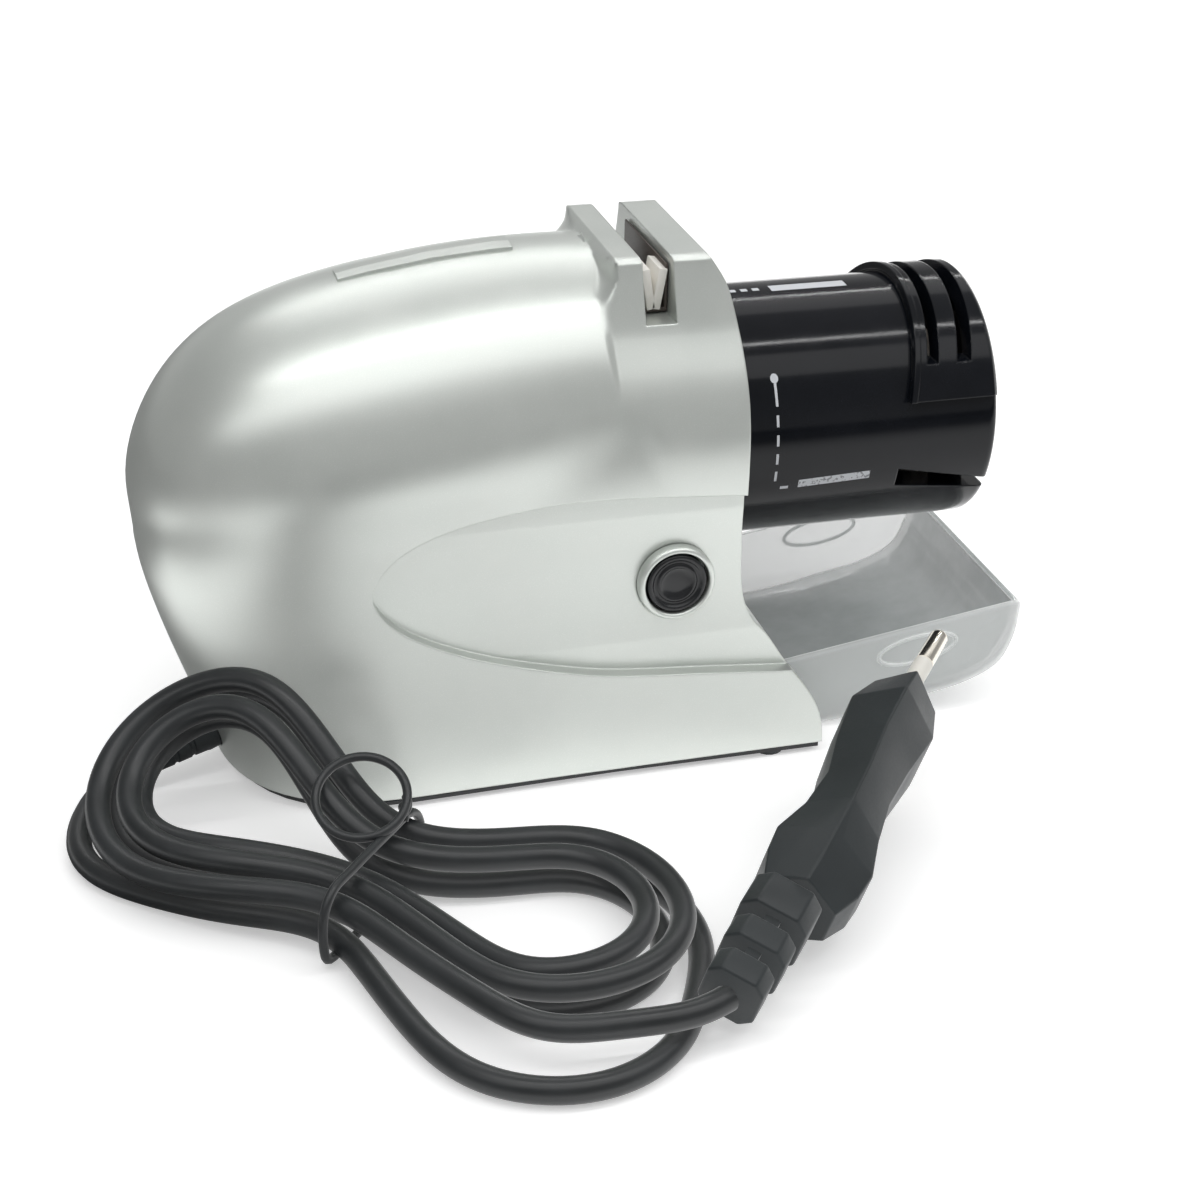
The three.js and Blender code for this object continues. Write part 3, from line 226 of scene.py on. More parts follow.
def turned(name, profile, origin=(0, 0, AXIS), way=(1, 0, 0), steps=96):
    """A closed profile of (along, radius) pairs spun round its axis."""
    way = Vector(way).normalized()
    side = way.orthogonal().normalized()
    origin = Vector(origin)
    ring_of([origin + way * s + side * r for s, r in profile])
    bpy.ops.mesh.spin(steps=steps, angle=2 * pi, center=origin * MM, axis=way)
    bpy.ops.mesh.select_all(action="SELECT")
    bpy.ops.mesh.remove_doubles(threshold=SEAM * MM)
    bpy.ops.mesh.dissolve_degenerate(threshold=1e-7)
    return closed_shell(name)


def in_from(end, radius, *steps):
    """A profile's points by how far they lie back from an end and in from a radius."""
    return [(end - back, radius - deep) for back, deep in steps]


def rod(name, radius, start, end, steps=32):
    start, end = Vector(start), Vector(end)
    long = (end - start).length
    return turned(name, [(0, 0), (0, radius), (long, radius), (long, 0)], start, end - start, steps)


def eased(share):
    """A smooth step from 0 to 1, for one value or many."""
    share = np.clip(share, 0, 1)
    return share * share * (3 - 2 * share)


def curve_piece(t, start, start_slope, end_slope, end):
    """A place on the smooth curve from one point to the next."""
    return (start * (1 + t * t * (2 * t - 3)) + start_slope * (t * (1 - t) ** 2)
            + end_slope * (t * t * (t - 1)) + end * (t * t * (3 - 2 * t)))


def through(points, step, closed=False):
    """Points a step apart on a smooth curve through the given points."""
    points = [Vector(p) for p in points]
    count = len(points)
    spans = count if closed else count - 1
    fine = []
    for i in range(spans):
        b, c = points[i], points[(i + 1) % count]
        a = points[i - 1] if closed or i else b * 2 - c
        d = points[(i + 2) % count] if closed or i + 2 < count else c * 2 - b
        ab, bc, cd = (max((q - p).length, 1e-6) ** 0.5 for p, q in ((a, b), (b, c), (c, d)))
        slope_b = ((b - a) / ab - (c - a) / (ab + bc) + (c - b) / bc) * bc
        slope_c = ((c - b) / bc - (d - b) / (bc + cd) + (d - c) / cd) * bc
        steps = max(2, round((c - b).length / step * 3))
        fine += [curve_piece(k / steps, b, slope_b, slope_c, c) for k in range(steps)]
    fine.append(points[0].copy() if closed else points[-1])
    runs = [0.0]
    for p, q in zip(fine, fine[1:]):
        runs.append(runs[-1] + (q - p).length)
    wanted = max(2, round(runs[-1] / step))
    spaced, k = [], 0
    for i in range(wanted + (0 if closed else 1)):
        target = runs[-1] * i / wanted
        while k + 2 < len(runs) and runs[k + 1] < target:
            k += 1
        share = (target - runs[k]) / max(runs[k + 1] - runs[k], 1e-9)
        spaced.append(fine[k].lerp(fine[k + 1], min(share, 1)))
    return spaced


def flat_through(pairs, step):
    return [(p[0], p[1]) for p in through([(a, b, 0) for a, b in pairs], step)]


def wire(name, points, radius, roundness, closed=False):
    rest_tools()
    line = bpy.data.curves.new(name, "CURVE")
    line.dimensions = "3D"
    line.bevel_depth = radius * MM
    line.bevel_resolution = roundness
    line.use_fill_caps = True
    spline = line.splines.new("POLY")
    spline.points.add(len(points) - 1)
    for corner, point in zip(spline.points, points):
        corner.co = (*(Vector(point) * MM), 1)
    spline.use_cyclic_u = closed
    spline.use_smooth = True
    piece = bpy.data.objects.new(name, line)
    bpy.context.collection.objects.link(piece)
    return piece


def wire_mesh(name, points, radius, roundness, closed=False):
    pick(wire(name, points, radius, roundness, closed))
    bpy.ops.object.convert(target="MESH")
    return bpy.context.object


# Camera

def set_camera():
    turn, lift, roll = (radians(v) for v in CAMERA_TURNS)
    back = Vector((sin(turn) * cos(lift), -cos(turn) * cos(lift), sin(lift)))
    right = Vector((cos(turn), sin(turn), 0))
    up = back.cross(right)
    level = Matrix((right * cos(roll) + up * sin(roll),
                    up * cos(roll) - right * sin(roll), back)).transposed()
    camera = added("picture_camera", bpy.ops.object.camera_add)
    camera.matrix_world = Matrix.Translation(CAMERA_PLACE * MM) @ level.to_4x4()
    camera.data.lens = FOCAL_LENGTH
    camera.data.sensor_width = SENSOR
    camera.data.clip_start = 0.01
    bpy.context.scene.camera = camera


set_camera()

# The cord's ends: its gland at the housing and the root of its plug
GLAND = Vector((-0.856 * NOSE, -0.34 * BASE_HALF, 0.084 * TOP))
GLAND_WAY = Vector((-0.91, -0.36, -0.2)).normalized()
GLAND_LENGTH, GLAND_HOLE, GLAND_DEEP = 22, 4.5, 9
GLAND_END = GLAND + GLAND_WAY * GLAND_LENGTH
LEAD = [(-109.5, -33.5, 3.9), (-113, -43, 3.5), (-112.5, -53, 3)]
TAIL = [(-20.5, -133.8, 9)]
PLUG_RISE, PLUG_TURN, PLUG_TILT = 0.16, 0.85, 0.32
PLUG_ROOT = Vector((-5.2, -131.2, 9.2))
PLUG_WAY = Vector((cos(PLUG_RISE) * cos(PLUG_TURN), cos(PLUG_RISE) * sin(PLUG_TURN),
                   sin(PLUG_RISE)))
PLUG_SIDE = PLUG_WAY.cross(Vector((0, 0, 1))).normalized()
PLUG_UP = PLUG_SIDE.cross(PLUG_WAY) * cos(PLUG_TILT) + PLUG_SIDE * sin(PLUG_TILT)
PLUG_THICK = PLUG_WAY.cross(PLUG_UP)
RELIEF_LENGTH = 25.5

# The hank: an outline along a bent line, whose left end stands up, with turns that narrow and widen again
HANK_HALF, LEFT_LOBE, RIGHT_LOBE, WAIST_HALF, LOBE_TURN = 64, 25.5, 31, 14, 60
HANK_TILT = 0.55
HANK_LINE = [Vector((-98.5, -30, 0)), Vector((-66, -86, 0)), Vector((-0.5, -111, 0))]
HANK_START, HANK_TURNS, TURN_STEPS = 240, 25 / 6, 24
HANK_SLACK, SLACK_START, SLACK_SPAN = 15.5, 0.075, 0.24
WAIST_RISE, WAIST_SPAN, CLIMB_SPAN = 2.2, 26, 0.5
FOLD_EASE, FOLD_SPAN = ((5 / 6, 4.5), (11 / 6, 6)), 0.25
HANK_GAP, CORD_GAP = 0.3, 0.1
CORD_STEP, RELAXING = 1.6, 45


def hank_line(share):
    a, b, c = HANK_LINE
    return a * (1 - share) ** 2 + b * (2 * share * (1 - share)) + c * share ** 2


def hank_way(share):
    a, b, c = HANK_LINE
    return ((b - a) * (2 * (1 - share)) + (c - b) * (2 * share)).normalized()


def hank_outline(degrees):
    """A point of the flat outline: an arc at each end, a waist between them."""
    angle = degrees % 360
    side, half = (-1, 360 - angle) if angle > 180 else (1, angle)
    for end, lobe, turn in ((1, RIGHT_LOBE, half), (-1, LEFT_LOBE, 180 - half)):
        if turn < LOBE_TURN:
            arc = radians(turn * 90 / LOBE_TURN)
            return end * (HANK_HALF - lobe + lobe * cos(arc)), side * lobe * sin(arc)
    middles = LEFT_LOBE - 2 * HANK_HALF + RIGHT_LOBE
    u = (HANK_HALF - RIGHT_LOBE) + middles * (half - LOBE_TURN) / (180 - 2 * LOBE_TURN)
    lobe = RIGHT_LOBE if u > 0 else LEFT_LOBE
    reach = abs(u) / (HANK_HALF - lobe)
    return u, side * (WAIST_HALF + (lobe - WAIST_HALF) * (1 - cos(pi * reach)) / 2)


def hank_point(degrees, inward, lift):
    """Where the cord's middle is, so far inside the outline and above the lowest layer."""
    u, v = hank_outline(degrees)
    (ua, va), (ub, vb) = hank_outline(degrees - 1), hank_outline(degrees + 1)
    long = hypot(ub - ua, vb - va)
    us, vs = u - inward * (vb - va) / long, v + inward * (ub - ua) / long
    share = (us + HANK_HALF) / (2 * HANK_HALF)
    way = hank_way(min(max(share, 0), 1))
    across = Vector((-way.y, way.x, 0))
    tilt = HANK_TILT * eased(-us / (HANK_HALF - LEFT_LOBE))
    rise = CORD / 2 + HANK_GAP + WAIST_RISE * (1 - eased(abs(us) / WAIST_SPAN))
    return (hank_line(share) + across * (vs * cos(tilt) - lift * sin(tilt))
            + Vector((0, 0, rise + lift * cos(tilt) + (vs + LEFT_LOBE) * sin(tilt))))


def hank_route():
    steps = round(HANK_TURNS * TURN_STEPS)
    route = []
    for i in range(steps + 1):
        turn = HANK_TURNS * i / steps
        slack = min(max((turn - SLACK_START) / SLACK_SPAN, 0), 1)
        inward = PITCH * min(turn, HANK_TURNS - turn) - HANK_SLACK * sin(pi * slack) ** 2
        inward -= sum(ease * eased(1 - abs(turn - fold) / FOLD_SPAN) for fold, ease in FOLD_EASE)
        climb = eased((turn - HANK_TURNS / 2) / CLIMB_SPAN + 0.5)
        route.append(hank_point(HANK_START + 360 * turn, inward, climb * PITCH))
    return route


def cord_route():
    """From the gland through the hank to the plug, its stretches relaxed into one line."""
    hank = hank_route()
    way_in = hank[1] - hank[0]
    way_in.z = 0
    way_in.normalize()
    way_out = (hank[-1] - hank[-2]).normalized()
    first, last = hank[0] - way_in * CORD, hank[-1] + way_out * CORD
    lead = [GLAND_END, GLAND_END + GLAND_WAY * CORD, *LEAD, first - way_in * CORD, first, hank[0]]
    tail = [hank[-1], last, last + way_out * CORD, *TAIL, PLUG_ROOT - PLUG_WAY * CORD, PLUG_ROOT]
    lead, hank, tail = (through(stretch, CORD_STEP) for stretch in (lead, hank, tail))
    route = lead + hank[1:] + tail[1:]
    for _ in range(RELAXING):
        route[1:-1] = [a * 0.25 + b * 0.5 + c * 0.25 for a, b, c in zip(route, route[1:], route[2:])]
    return [Vector((p.x, p.y, max(p.z, CORD / 2 + CORD_GAP))) for p in route]


mains_cord = wire("mains_cord", cord_route(), CORD / 2, 7)

# Finishes


def reckoned(operation, swapped=False):
    """A Math node as an operator of Feed."""
    def operator(*feeds):
        values = feeds[::-1] if swapped else feeds
        return feeds[0].finish.node("Math", dict(enumerate(values)), operation=operation)
    return operator


class Feed:
    """A socket that sums, products and comparisons are written with."""

    def __init__(self, finish, socket):
        self.finish, self.socket = finish, socket

    __add__ = reckoned("ADD")
    __sub__ = reckoned("SUBTRACT")
    __rsub__ = reckoned("SUBTRACT", swapped=True)
    __mul__ = reckoned("MULTIPLY")
    __pow__ = reckoned("POWER")
    __gt__ = reckoned("GREATER_THAN")
    __lt__ = reckoned("LESS_THAN")
    __abs__ = reckoned("ABSOLUTE")
    __mod__ = reckoned("MODULO")
    max = reckoned("MAXIMUM")

    def clamped(self):
        return self.finish.node("Math", {0: self, 1: 0}, operation="ADD", use_clamp=True)


class Finish:
    """The tree of a material or of the world, which reads places in millimetres."""

    def __init__(self, name, shelf=bpy.data.materials, output="OutputMaterial"):
        self.owner = shelf.new(name)
        self.owner.use_nodes = True
        self.tree = self.owner.node_tree
        self.tree.nodes.clear()
        self.output = self.tree.nodes.new("ShaderNode" + output)

    def node(self, kind, sockets=None, out=0, **settings):
        made = self.tree.nodes.new("ShaderNode" + kind)
        for key, value in settings.items():
            setattr(made, key, value)
        for key, value in (sockets or {}).items():
            if isinstance(value, Feed):
                self.tree.links.new(value.socket, made.inputs[key])
            elif value is not None:
                made.inputs[key].default_value = value
        return Feed(self, made.outputs[out])

    def split(self, feed):
        return [Feed(self, output) for output in self.node("SeparateXYZ", {0: feed}).socket.node.outputs]

    def place(self):
        return self.node("TexCoord", out="Object")

    def axes(self):
        return [axis * METRE for axis in self.split(self.place())]

    def noise(self, size, detail=3, rough=0.55, stretch=None):
        """Noise of about 0 to 1, with grains of the given size."""
        place = self.place()
        if stretch:
            place = self.node("Mapping", {"Vector": place, "Scale": stretch})
        return self.node("TexNoise", {"Vector": place, "Scale": METRE / size, "Detail": detail,
                                      "Roughness": rough})

    def between(self, share, low, high):
        """Spreads the middle of a noise over the given span."""
        return self.node("MapRange", {0: share, 1: 0.3, 2: 0.7, 3: low, 4: high})

    def stepped(self, along, start, end, low=0):
        """A smooth step from the low value up to 1."""
        spans = {0: along, 1: start, 2: end, 3: low, 4: 1}
        return self.node("MapRange", spans, interpolation_type="SMOOTHSTEP")

    def tint(self, share, first, second):
        """A mix of two colours, each given by its numbers or by a socket."""
        first, second = (c if isinstance(c, Feed) else (*c, 1) for c in (first, second))
        return self.node("Mix", {0: share, 6: first, 7: second}, 2, data_type="RGBA")

    def mottled(self, noise, first, second):
        return self.tint(self.between(noise, 0, 1), first, second)

    def eased_edges(self, radius):
        return self.node("Bevel", {"Radius": radius * MM}, samples=6)

    def bump(self, height, distance, strength, normal=None):
        return self.node("Bump", {"Height": height, "Distance": distance * MM, "Strength": strength,
                                  "Normal": normal})

    def show(self, shader):
        self.tree.links.new(shader.socket, self.output.inputs["Surface"])
        return self.owner

    def surface(self, **sockets):
        sockets = {key.replace("_", " "): value for key, value in sockets.items()}
        return self.show(self.node("BsdfPrincipled", sockets))


def silver_finish(name, edge):
    """Satin silver paint: fine bright flakes in a slightly green grey."""
    f = Finish(name)
    flakes, broad = f.noise(0.16, 2, 0.7), f.noise(16)
    colour = f.mottled(broad, (0.655, 0.69, 0.655), (0.69, 0.72, 0.685))
    colour = f.tint((flakes - 0.56) * 3, colour, (0.86, 0.88, 0.86))
    rough = f.between(broad, 0.33, 0.37) + (flakes - 0.5) * 0.12
    return f.surface(Base_Color=colour, Metallic=0.7, Roughness=rough, Coat_Weight=0.1, Coat_Roughness=0.3,
                     Normal=f.bump(flakes, 0.012, 0.35, f.eased_edges(edge)))


def moulded_finish(name, colour, rough, grain=0.35, depth=0.01, shift=0.12):
    """Moulded plastic: a fine grain, with broad soft changes of colour and gloss."""
    f = Finish(name)
    fine, broad = f.noise(grain), f.noise(11)
    lighter = tuple(min(c * (1 + shift) + 0.002, 1) for c in colour)
    darker = tuple(c * (1 - shift) for c in colour)
    gloss = f.between(broad, rough * 0.88, rough * 1.12) + (fine - 0.5) * rough * 0.25
    return f.surface(Base_Color=f.mottled(broad, darker, lighter), Roughness=gloss,
                     Normal=f.bump(fine, depth, 0.5))


def metal_finish(name, colour, rough, stretch):
    """Bare metal with fine drawing lines along one way."""
    f = Finish(name)
    lines, broad = f.noise(0.3, 3, 0.6, stretch), f.noise(6)
    shade = f.mottled(broad, colour, tuple(c * 0.88 for c in colour))
    return f.surface(Base_Color=shade, Metallic=1, Roughness=f.between(lines, rough * 0.75, rough * 1.3),
                     Normal=f.bump(lines, 0.01, 0.4))


def head_finish():
    """Gloss black with white marks on its near side and along its crest."""
    f = Finish("head_gloss_black")
    x, y, z = f.axes()
    broad, fine = f.noise(14, 4), f.noise(0.5)

    def bar(along, ends, across, edges):
        return (along > ends[0]) * (along < ends[1]) * (across > edges[0]) * (across < edges[1])

    line, dash_low, dash_high, dash_pitch, dash = (36.95, 37.5), 58.6, 78.6, 4.1, 2.4
    dashes = bar(x, line, z, (dash_low, dash_high)) * (((z - dash_low) % dash_pitch) < dash)
    dot = ((x - 37.2) ** 2 + (z - 80.2) ** 2) < 0.75
    stem = bar(x, line, z, (76.4, 80))
    foot = bar(x, (38.6, 40.4), z, (56.4, 57.1))
    sloping = z - (x - 42.5) * 0.045
    scratched = 1 - (f.noise(0.7, 2) > 0.585) * 0.55
    plate = bar(x, (42.6, 58.6), sloping, (56.4, 58.3)) * scratched
    side = (y < 0) * dashes.max(dot).max(stem).max(foot).max(plate)

    off_crest = abs(y + 1)
    crest_bar = bar(x, (43, 60), off_crest, (-1, 1.5))
    crest_dashes = bar(x, (34, 41), off_crest, (-1, 0.7)) * ((x % 2.6) < 1.5)
    marks = side.max((z > 88) * crest_bar.max(crest_dashes))

    shade = f.mottled(broad, (0.003, 0.004, 0.006), (0.006, 0.007, 0.010))
    rough = f.between(broad, 0.10, 0.15) + (fine - 0.5) * 0.03 + marks * 0.25
    return f.surface(Base_Color=f.tint(marks, shade, (0.62, 0.64, 0.67)), Roughness=rough,
                     Specular_IOR_Level=0.24, Normal=f.bump(broad, 0.12, 0.12, f.eased_edges(0.5)))


def clear_finish():
    """Clear plastic: greyer in the deep floor by painted shade, pale and clearer in its side walls by
    painted light, and white along its edges by a painted highlight.
    """
    f = Finish("tray_clear")
    _, y, _ = f.axes()
    wall = abs(y) > TRAY_CLEARER
    facing = f.node("LayerWeight", {"Blend": 0.35}, "Facing")
    # Painted highlight: where the eased normal turns away from the true one, the edges are painted white.
    normals = {0: f.eased_edges(0.7), 1: f.node("NewGeometry", out="Normal")}
    alike = f.node("VectorMath", normals, "Value", operation="DOT_PRODUCT")
    edge = ((1 - alike) * 5).clamped()
    cloud = f.noise(9)
    # Painted shade greys the deep floor, and painted light makes the side walls near white.
    deep = f.mottled(cloud, (0.31, 0.35, 0.345), (0.40, 0.44, 0.435))
    colour = f.tint(edge, f.tint(wall, deep, (0.93, 0.96, 0.95)), (0.95, 0.97, 0.97))
    cover = 0.5 - wall * 0.2 + facing * 0.25 + edge * 0.45
    return f.surface(Base_Color=colour, Roughness=f.between(cloud, 0.05, 0.11), Alpha=cover.clamped(),
                     Specular_IOR_Level=0.6, Normal=f.bump(cloud, 0.1, 0.2))


def cord_finish():
    """Soft black sheath with a dull sheen and fine extrusion grain."""
    f = Finish("cord_black")
    fine, broad = f.noise(0.4), f.noise(13)
    shade = f.mottled(broad, (0.010, 0.012, 0.013), (0.020, 0.023, 0.025))
    return f.surface(Base_Color=shade, Roughness=f.between(broad, 0.34, 0.44) + (fine - 0.5) * 0.1,
                     Specular_IOR_Level=0.55, Normal=f.bump(fine, 0.02, 0.35))


def wheel_finish():
    """Bonded grit: pale and dark grains in a grey-brown body."""
    f = Finish("wheel_stone")
    grit, patch = f.noise(0.45, 4, 0.8), f.noise(3)
    shade = f.mottled(grit, (0.17, 0.15, 0.135), (0.42, 0.39, 0.35))
    shade = f.tint(f.between(patch, 0, 0.35), shade, (0.12, 0.11, 0.10))
    return f.surface(Base_Color=shade, Roughness=0.95, Normal=f.bump(grit, 0.25, 0.8))


def winding_finish():
    """Lacquered copper wire in close turns along the armature, with painted shade in the grooves between the
    turns.
    """
    f = Finish("winding_copper")
    x, _, _ = f.axes()
    turns = abs(((x + 100) % 0.8) - 0.4) * 2.5
    # Painted shade: the grooves between the turns are painted darker.
    shade = f.tint(turns, (0.46, 0.15, 0.06), (0.20, 0.06, 0.03))
    return f.surface(Base_Color=shade, Metallic=0.85, Roughness=f.between(f.noise(3), 0.28, 0.42),
                     Normal=f.bump(1 - turns, 0.2, 0.6))


def board_finish():
    """Laminate with copper tracks under its lacquer."""
    f = Finish("board_green")
    x, y, _ = f.axes()
    track = (abs(((x + 100) % 5) - 2.5) < 0.5).max(abs(((y + 100) % 6.5) - 3.2) < 0.45)
    shade = f.tint(track * (f.noise(7) > 0.5), (0.17, 0.23, 0.09), (0.30, 0.34, 0.14))
    return f.surface(Base_Color=shade, Roughness=f.between(f.noise(2), 0.35, 0.5),
                     Normal=f.bump(track, 0.05, 0.4))


silver = silver_finish("silver_case", 0.6)
silver_small = silver_finish("silver_small", 0.3)
head_black = head_finish()
gloss_black = moulded_finish("gloss_black", (0.006, 0.007, 0.009), 0.25)
dark_plastic = moulded_finish("dark_plastic", (0.010, 0.011, 0.013), 0.45)
rubber_black = moulded_finish("rubber_black", (0.013, 0.018, 0.020), 0.5, grain=0.5, depth=0.02)
cord_black = cord_finish()
screw_steel = metal_finish("screw_steel", (0.55, 0.56, 0.57), 0.34, (1, 6, 6))
holder_brown = moulded_finish("holder_brown", (0.070, 0.056, 0.048), 0.5)
ceramic_white = moulded_finish("ceramic_white", (0.80, 0.78, 0.73), 0.55, grain=0.25, shift=0.03)
clear_plastic = clear_finish()
bearing_brass = metal_finish("bearing_brass", (0.55, 0.38, 0.14), 0.36, (6, 1, 1))
winding_copper = winding_finish()
magnet_grey = moulded_finish("magnet_grey", (0.04, 0.04, 0.043), 0.75, grain=0.3, depth=0.03)
carbon_black = moulded_finish("carbon_black", (0.03, 0.03, 0.032), 0.65, grain=0.2, depth=0.03)
wheel_stone = wheel_finish()
board_green = board_finish()
sleeve_white = moulded_finish("sleeve_white", (0.80, 0.78, 0.72), 0.42, shift=0.02)
pin_nickel = metal_finish("pin_nickel", (0.74, 0.70, 0.62), 0.2, (1, 1, 6))


def dress(piece, material, slot, *nodes, body="case"):
    """Gives a piece its finish and the body that it moves with, and hides the solids that it stands for."""
    piece.data.materials.clear()
    piece.data.materials.append(material)
    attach(piece, body)
    if nodes:
        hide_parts(*nodes)
    return piece


# Housing: tables of shares of its length, half width and height

# Along the barrel: its crest, its half width, the level where it is widest, and its low end
BARREL = [
    (0.06, 0.986, 0.768, 0.685, 0.37), (-0.06, 0.99, 0.789, 0.676, 0.36),
    (-0.18, 0.988, 0.815, 0.661, 0.345), (-0.32, 0.977, 0.832, 0.643, 0.33),
    (-0.46, 0.957, 0.833, 0.626, 0.32), (-0.58, 0.935, 0.813, 0.609, 0.315),
    (-0.69, 0.905, 0.768, 0.594, 0.32), (-0.78, 0.867, 0.7, 0.581, 0.335),
    (-0.85, 0.822, 0.615, 0.571, 0.36), (-0.905, 0.77, 0.514, 0.565, 0.392),
    (-0.945, 0.716, 0.405, 0.56, 0.432), (-0.972, 0.666, 0.29, 0.558, 0.47),
    (-0.991, 0.614, 0.16, 0.557, 0.512), (-1, 0.574, 0.03, 0.557, 0.545),
]
# Up the skirt: its half width at the front and at the rear, and how far back it reaches
SKIRT = [
    (0.022, 0.955, 1, 0.844), (0.075, 0.931, 0.967, 0.866), (0.14, 0.9, 0.928, 0.893),
    (0.206, 0.873, 0.895, 0.919), (0.28, 0.849, 0.865, 0.946), (0.355, 0.829, 0.841, 0.97),
    (0.44, 0.817, 0.821, 0.989), (0.523, 0.815, 0.809, 0.98), (0.6, 0.817, 0.789, 0.948),
    (0.673, 0.804, 0.736, 0.9), (0.745, 0.753, 0.654, 0.82),
]
# The guide's half width at each level, and the side outline of the front edge and of the almond
GUIDE = [
    (0.813, 0.5), (0.817, 0.6), (0.804, 0.68), (0.767, 0.74), (0.713, 0.787), (0.642, 0.832), (0.58, 0.872),
    (0.535, 0.915), (0.498, 0.957), (0.478, 0.983), (0.458, 0.997), (0.42, 1),
]
FRONT = [
    (0.24, 1), (0.259, 0.975), (0.277, 0.945), (0.288, 0.905), (0.297, 0.85), (0.3, 0.76), (0.298, 0.6),
    (0.297, 0.45), (0.304, 0.34), (0.325, 0.29), (0.362, 0.25), (0.408, 0.187), (0.444, 0.145), (0.472, 0.1),
    (0.484, 0.055), (0.484, 0),
]
ALMOND = [
    (0.6, 0.17), (0.38, 0.182), (0.28, 0.19), (0.18, 0.198), (0.08, 0.205), (-0.02, 0.215), (-0.12, 0.233),
    (-0.23, 0.258), (-0.33, 0.287), (-0.42, 0.323), (-0.48, 0.357), (-0.515, 0.392), (-0.53, 0.428),
    (-0.515, 0.46), (-0.48, 0.495), (-0.42, 0.526), (-0.33, 0.552), (-0.23, 0.568), (-0.12, 0.578),
    (0, 0.578), (0.1, 0.574), (0.2, 0.568), (0.3, 0.561), (0.6, 0.545),
]
SKIRT_FRONT, SKIRT_TURN, SKIRT_TOP, SKIRT_LOW, SKIRT_ROUND = 0.58 * NOSE, -0.47 * NOSE, 0.745 * TOP, -12, 2.6
FAN_CENTRE = -40
RAY_LEVEL = 48
RAY_STEP, RAY_END, RAY_HALVINGS = 0.5, 125, 12
ROUND = 144
DENSE = 3
BAND_START, BAND_END = -1.6, 1.9
BAND_HIGH, BAND_LOW = 99, 83
BAND_REST, BAND_SLANT, BAND_DROP = 1.4, 2.3, 15.5
HALF_SOFT_BELOW = 80
STEP_SHARED, STEP_MOST = 10, 1.5


def smooth_columns(rows, place):
    """Reads a table's columns smoothly at any place between its rows."""
    rows = sorted(rows, key=lambda row: place(row[0]))
    at = np.array([place(row[0]) for row in rows])
    values = np.array([row[1:] for row in rows])
    slopes = np.gradient(values, at, axis=0)

    def read(where):
        where = np.clip(where, at[0], at[-1])
        i = np.clip(np.searchsorted(at, where) - 1, 0, len(at) - 2)
        gap = (at[i + 1] - at[i])[:, None]
        t = (where - at[i])[:, None] / gap
        return curve_piece(t, values[i], slopes[i] * gap, slopes[i + 1] * gap, values[i + 1]).T

    return read


read_barrel = smooth_columns(BARREL, lambda x: acos(max(min(-x, 1), -1)))
read_skirt = smooth_columns(SKIRT, lambda z: z)
read_guide = smooth_columns([(z, y) for y, z in GUIDE], lambda z: z)


def barrel_at(x, z):
    """The barrel's half width, and how far from its widest level a point lies."""
    crest, half, middle, low = read_barrel(np.arccos(np.clip(-x / NOSE, -1, 1)))
    rise = z / TOP - middle
    return half, rise / np.where(rise > 0, crest - middle, middle - low)


def in_barrel(x, y, z):
    half, share = barrel_at(x, z)
    return ((y / (half * BASE_HALF)) ** 2 + share ** 2 < 1) & (x > -NOSE)


def in_skirt(x, y, z):
    front, rear, reach = read_skirt(z / TOP)
    share = np.clip((SKIRT_FRONT - x) / (SKIRT_FRONT - SKIRT_TURN), 0, 1)
    half = front + (rear - front) * share ** 2
    past = np.clip((SKIRT_TURN - x) / (SKIRT_TURN + reach * NOSE), 0, 1)
    half = half * (1 - past ** SKIRT_ROUND) ** (1 / SKIRT_ROUND)
    return (np.abs(y) < half * BASE_HALF) & (z < SKIRT_TOP) & (z > SKIRT_LOW)


def in_guide(x, y, z):
    """The barrel's section turns into the guide's along a slanting band, longer lower down."""
    half, share = barrel_at(x, z)
    barrel = half * np.sqrt(np.clip(1 - share ** 2, 0, 1))
    high, foot = eased((z - BAND_HIGH) / 5), eased((BAND_LOW - z) / 8)
    slant = BAND_SLANT * np.clip((BAND_HIGH - z) / BAND_DROP, 0, 1.05) ** 1.5 - 1.5
    start = slant * (1 - high) + BAND_REST * high
    end = BAND_END + 1.6 * high + 10 * foot
    half = barrel + (read_guide(z / TOP)[0] - barrel) * eased((x - start) / (end - start))
    top = np.minimum(TOP, TOP - GUIDE_CORNER + (x - GUIDE_START))
    return (np.abs(y) < half * BASE_HALF) & (z < np.where(x < GUIDE_START, TOP, top)) & (z > 0.5 * TOP)


def ray_ways(places, angle=0.0):
    """The ways of rays round the housing's length, leaning back by the given angle."""
    round_it = 2 * np.pi * places / ROUND
    level = np.stack([np.zeros(len(places)), np.cos(round_it), np.sin(round_it)], axis=1)
    return level * cos(angle) + np.array([-sin(angle), 0, 0])


def reaches(stations, places, in_upper):
    """How far each ray runs before it last leaves the skirt and the shape over it."""
    origins = np.concatenate([np.tile([float(x), 0, RAY_LEVEL], (len(places), 1)) for x, angle in stations])
    ways = np.concatenate([ray_ways(places, angle) for x, angle in stations])

    def inside(step):
        points = (origins + ways * step).T
        return in_upper(*points) | in_skirt(*points)

    low = np.zeros(len(origins))
    for step in np.arange(0, RAY_END, RAY_STEP):
        low = np.where(inside(step), step, low)
    high = low + RAY_STEP
    for _ in range(RAY_HALVINGS):
        middle = (low + high) / 2
        held = inside(middle[:, None])
        low, high = np.where(held, middle, low), np.where(held, high, middle)
    return low.reshape(len(stations), len(places))


def between_rays(reach, places):
    """Reaches at any place round the section, read smoothly between the even rays."""
    at = np.floor(places).astype(int)
    t = places - at
    a, b, c, d = (reach[:, (at + k) % ROUND] for k in (-1, 0, 1, 2))
    return b + t * (c - a + t * (2 * a - 5 * b + 4 * c - d + t * (3 * (b - c) + d - a))) / 2


def eased_round(reach):
    return (np.roll(reach, 1, axis=1) + 2 * reach + np.roll(reach, -1, axis=1)) / 4


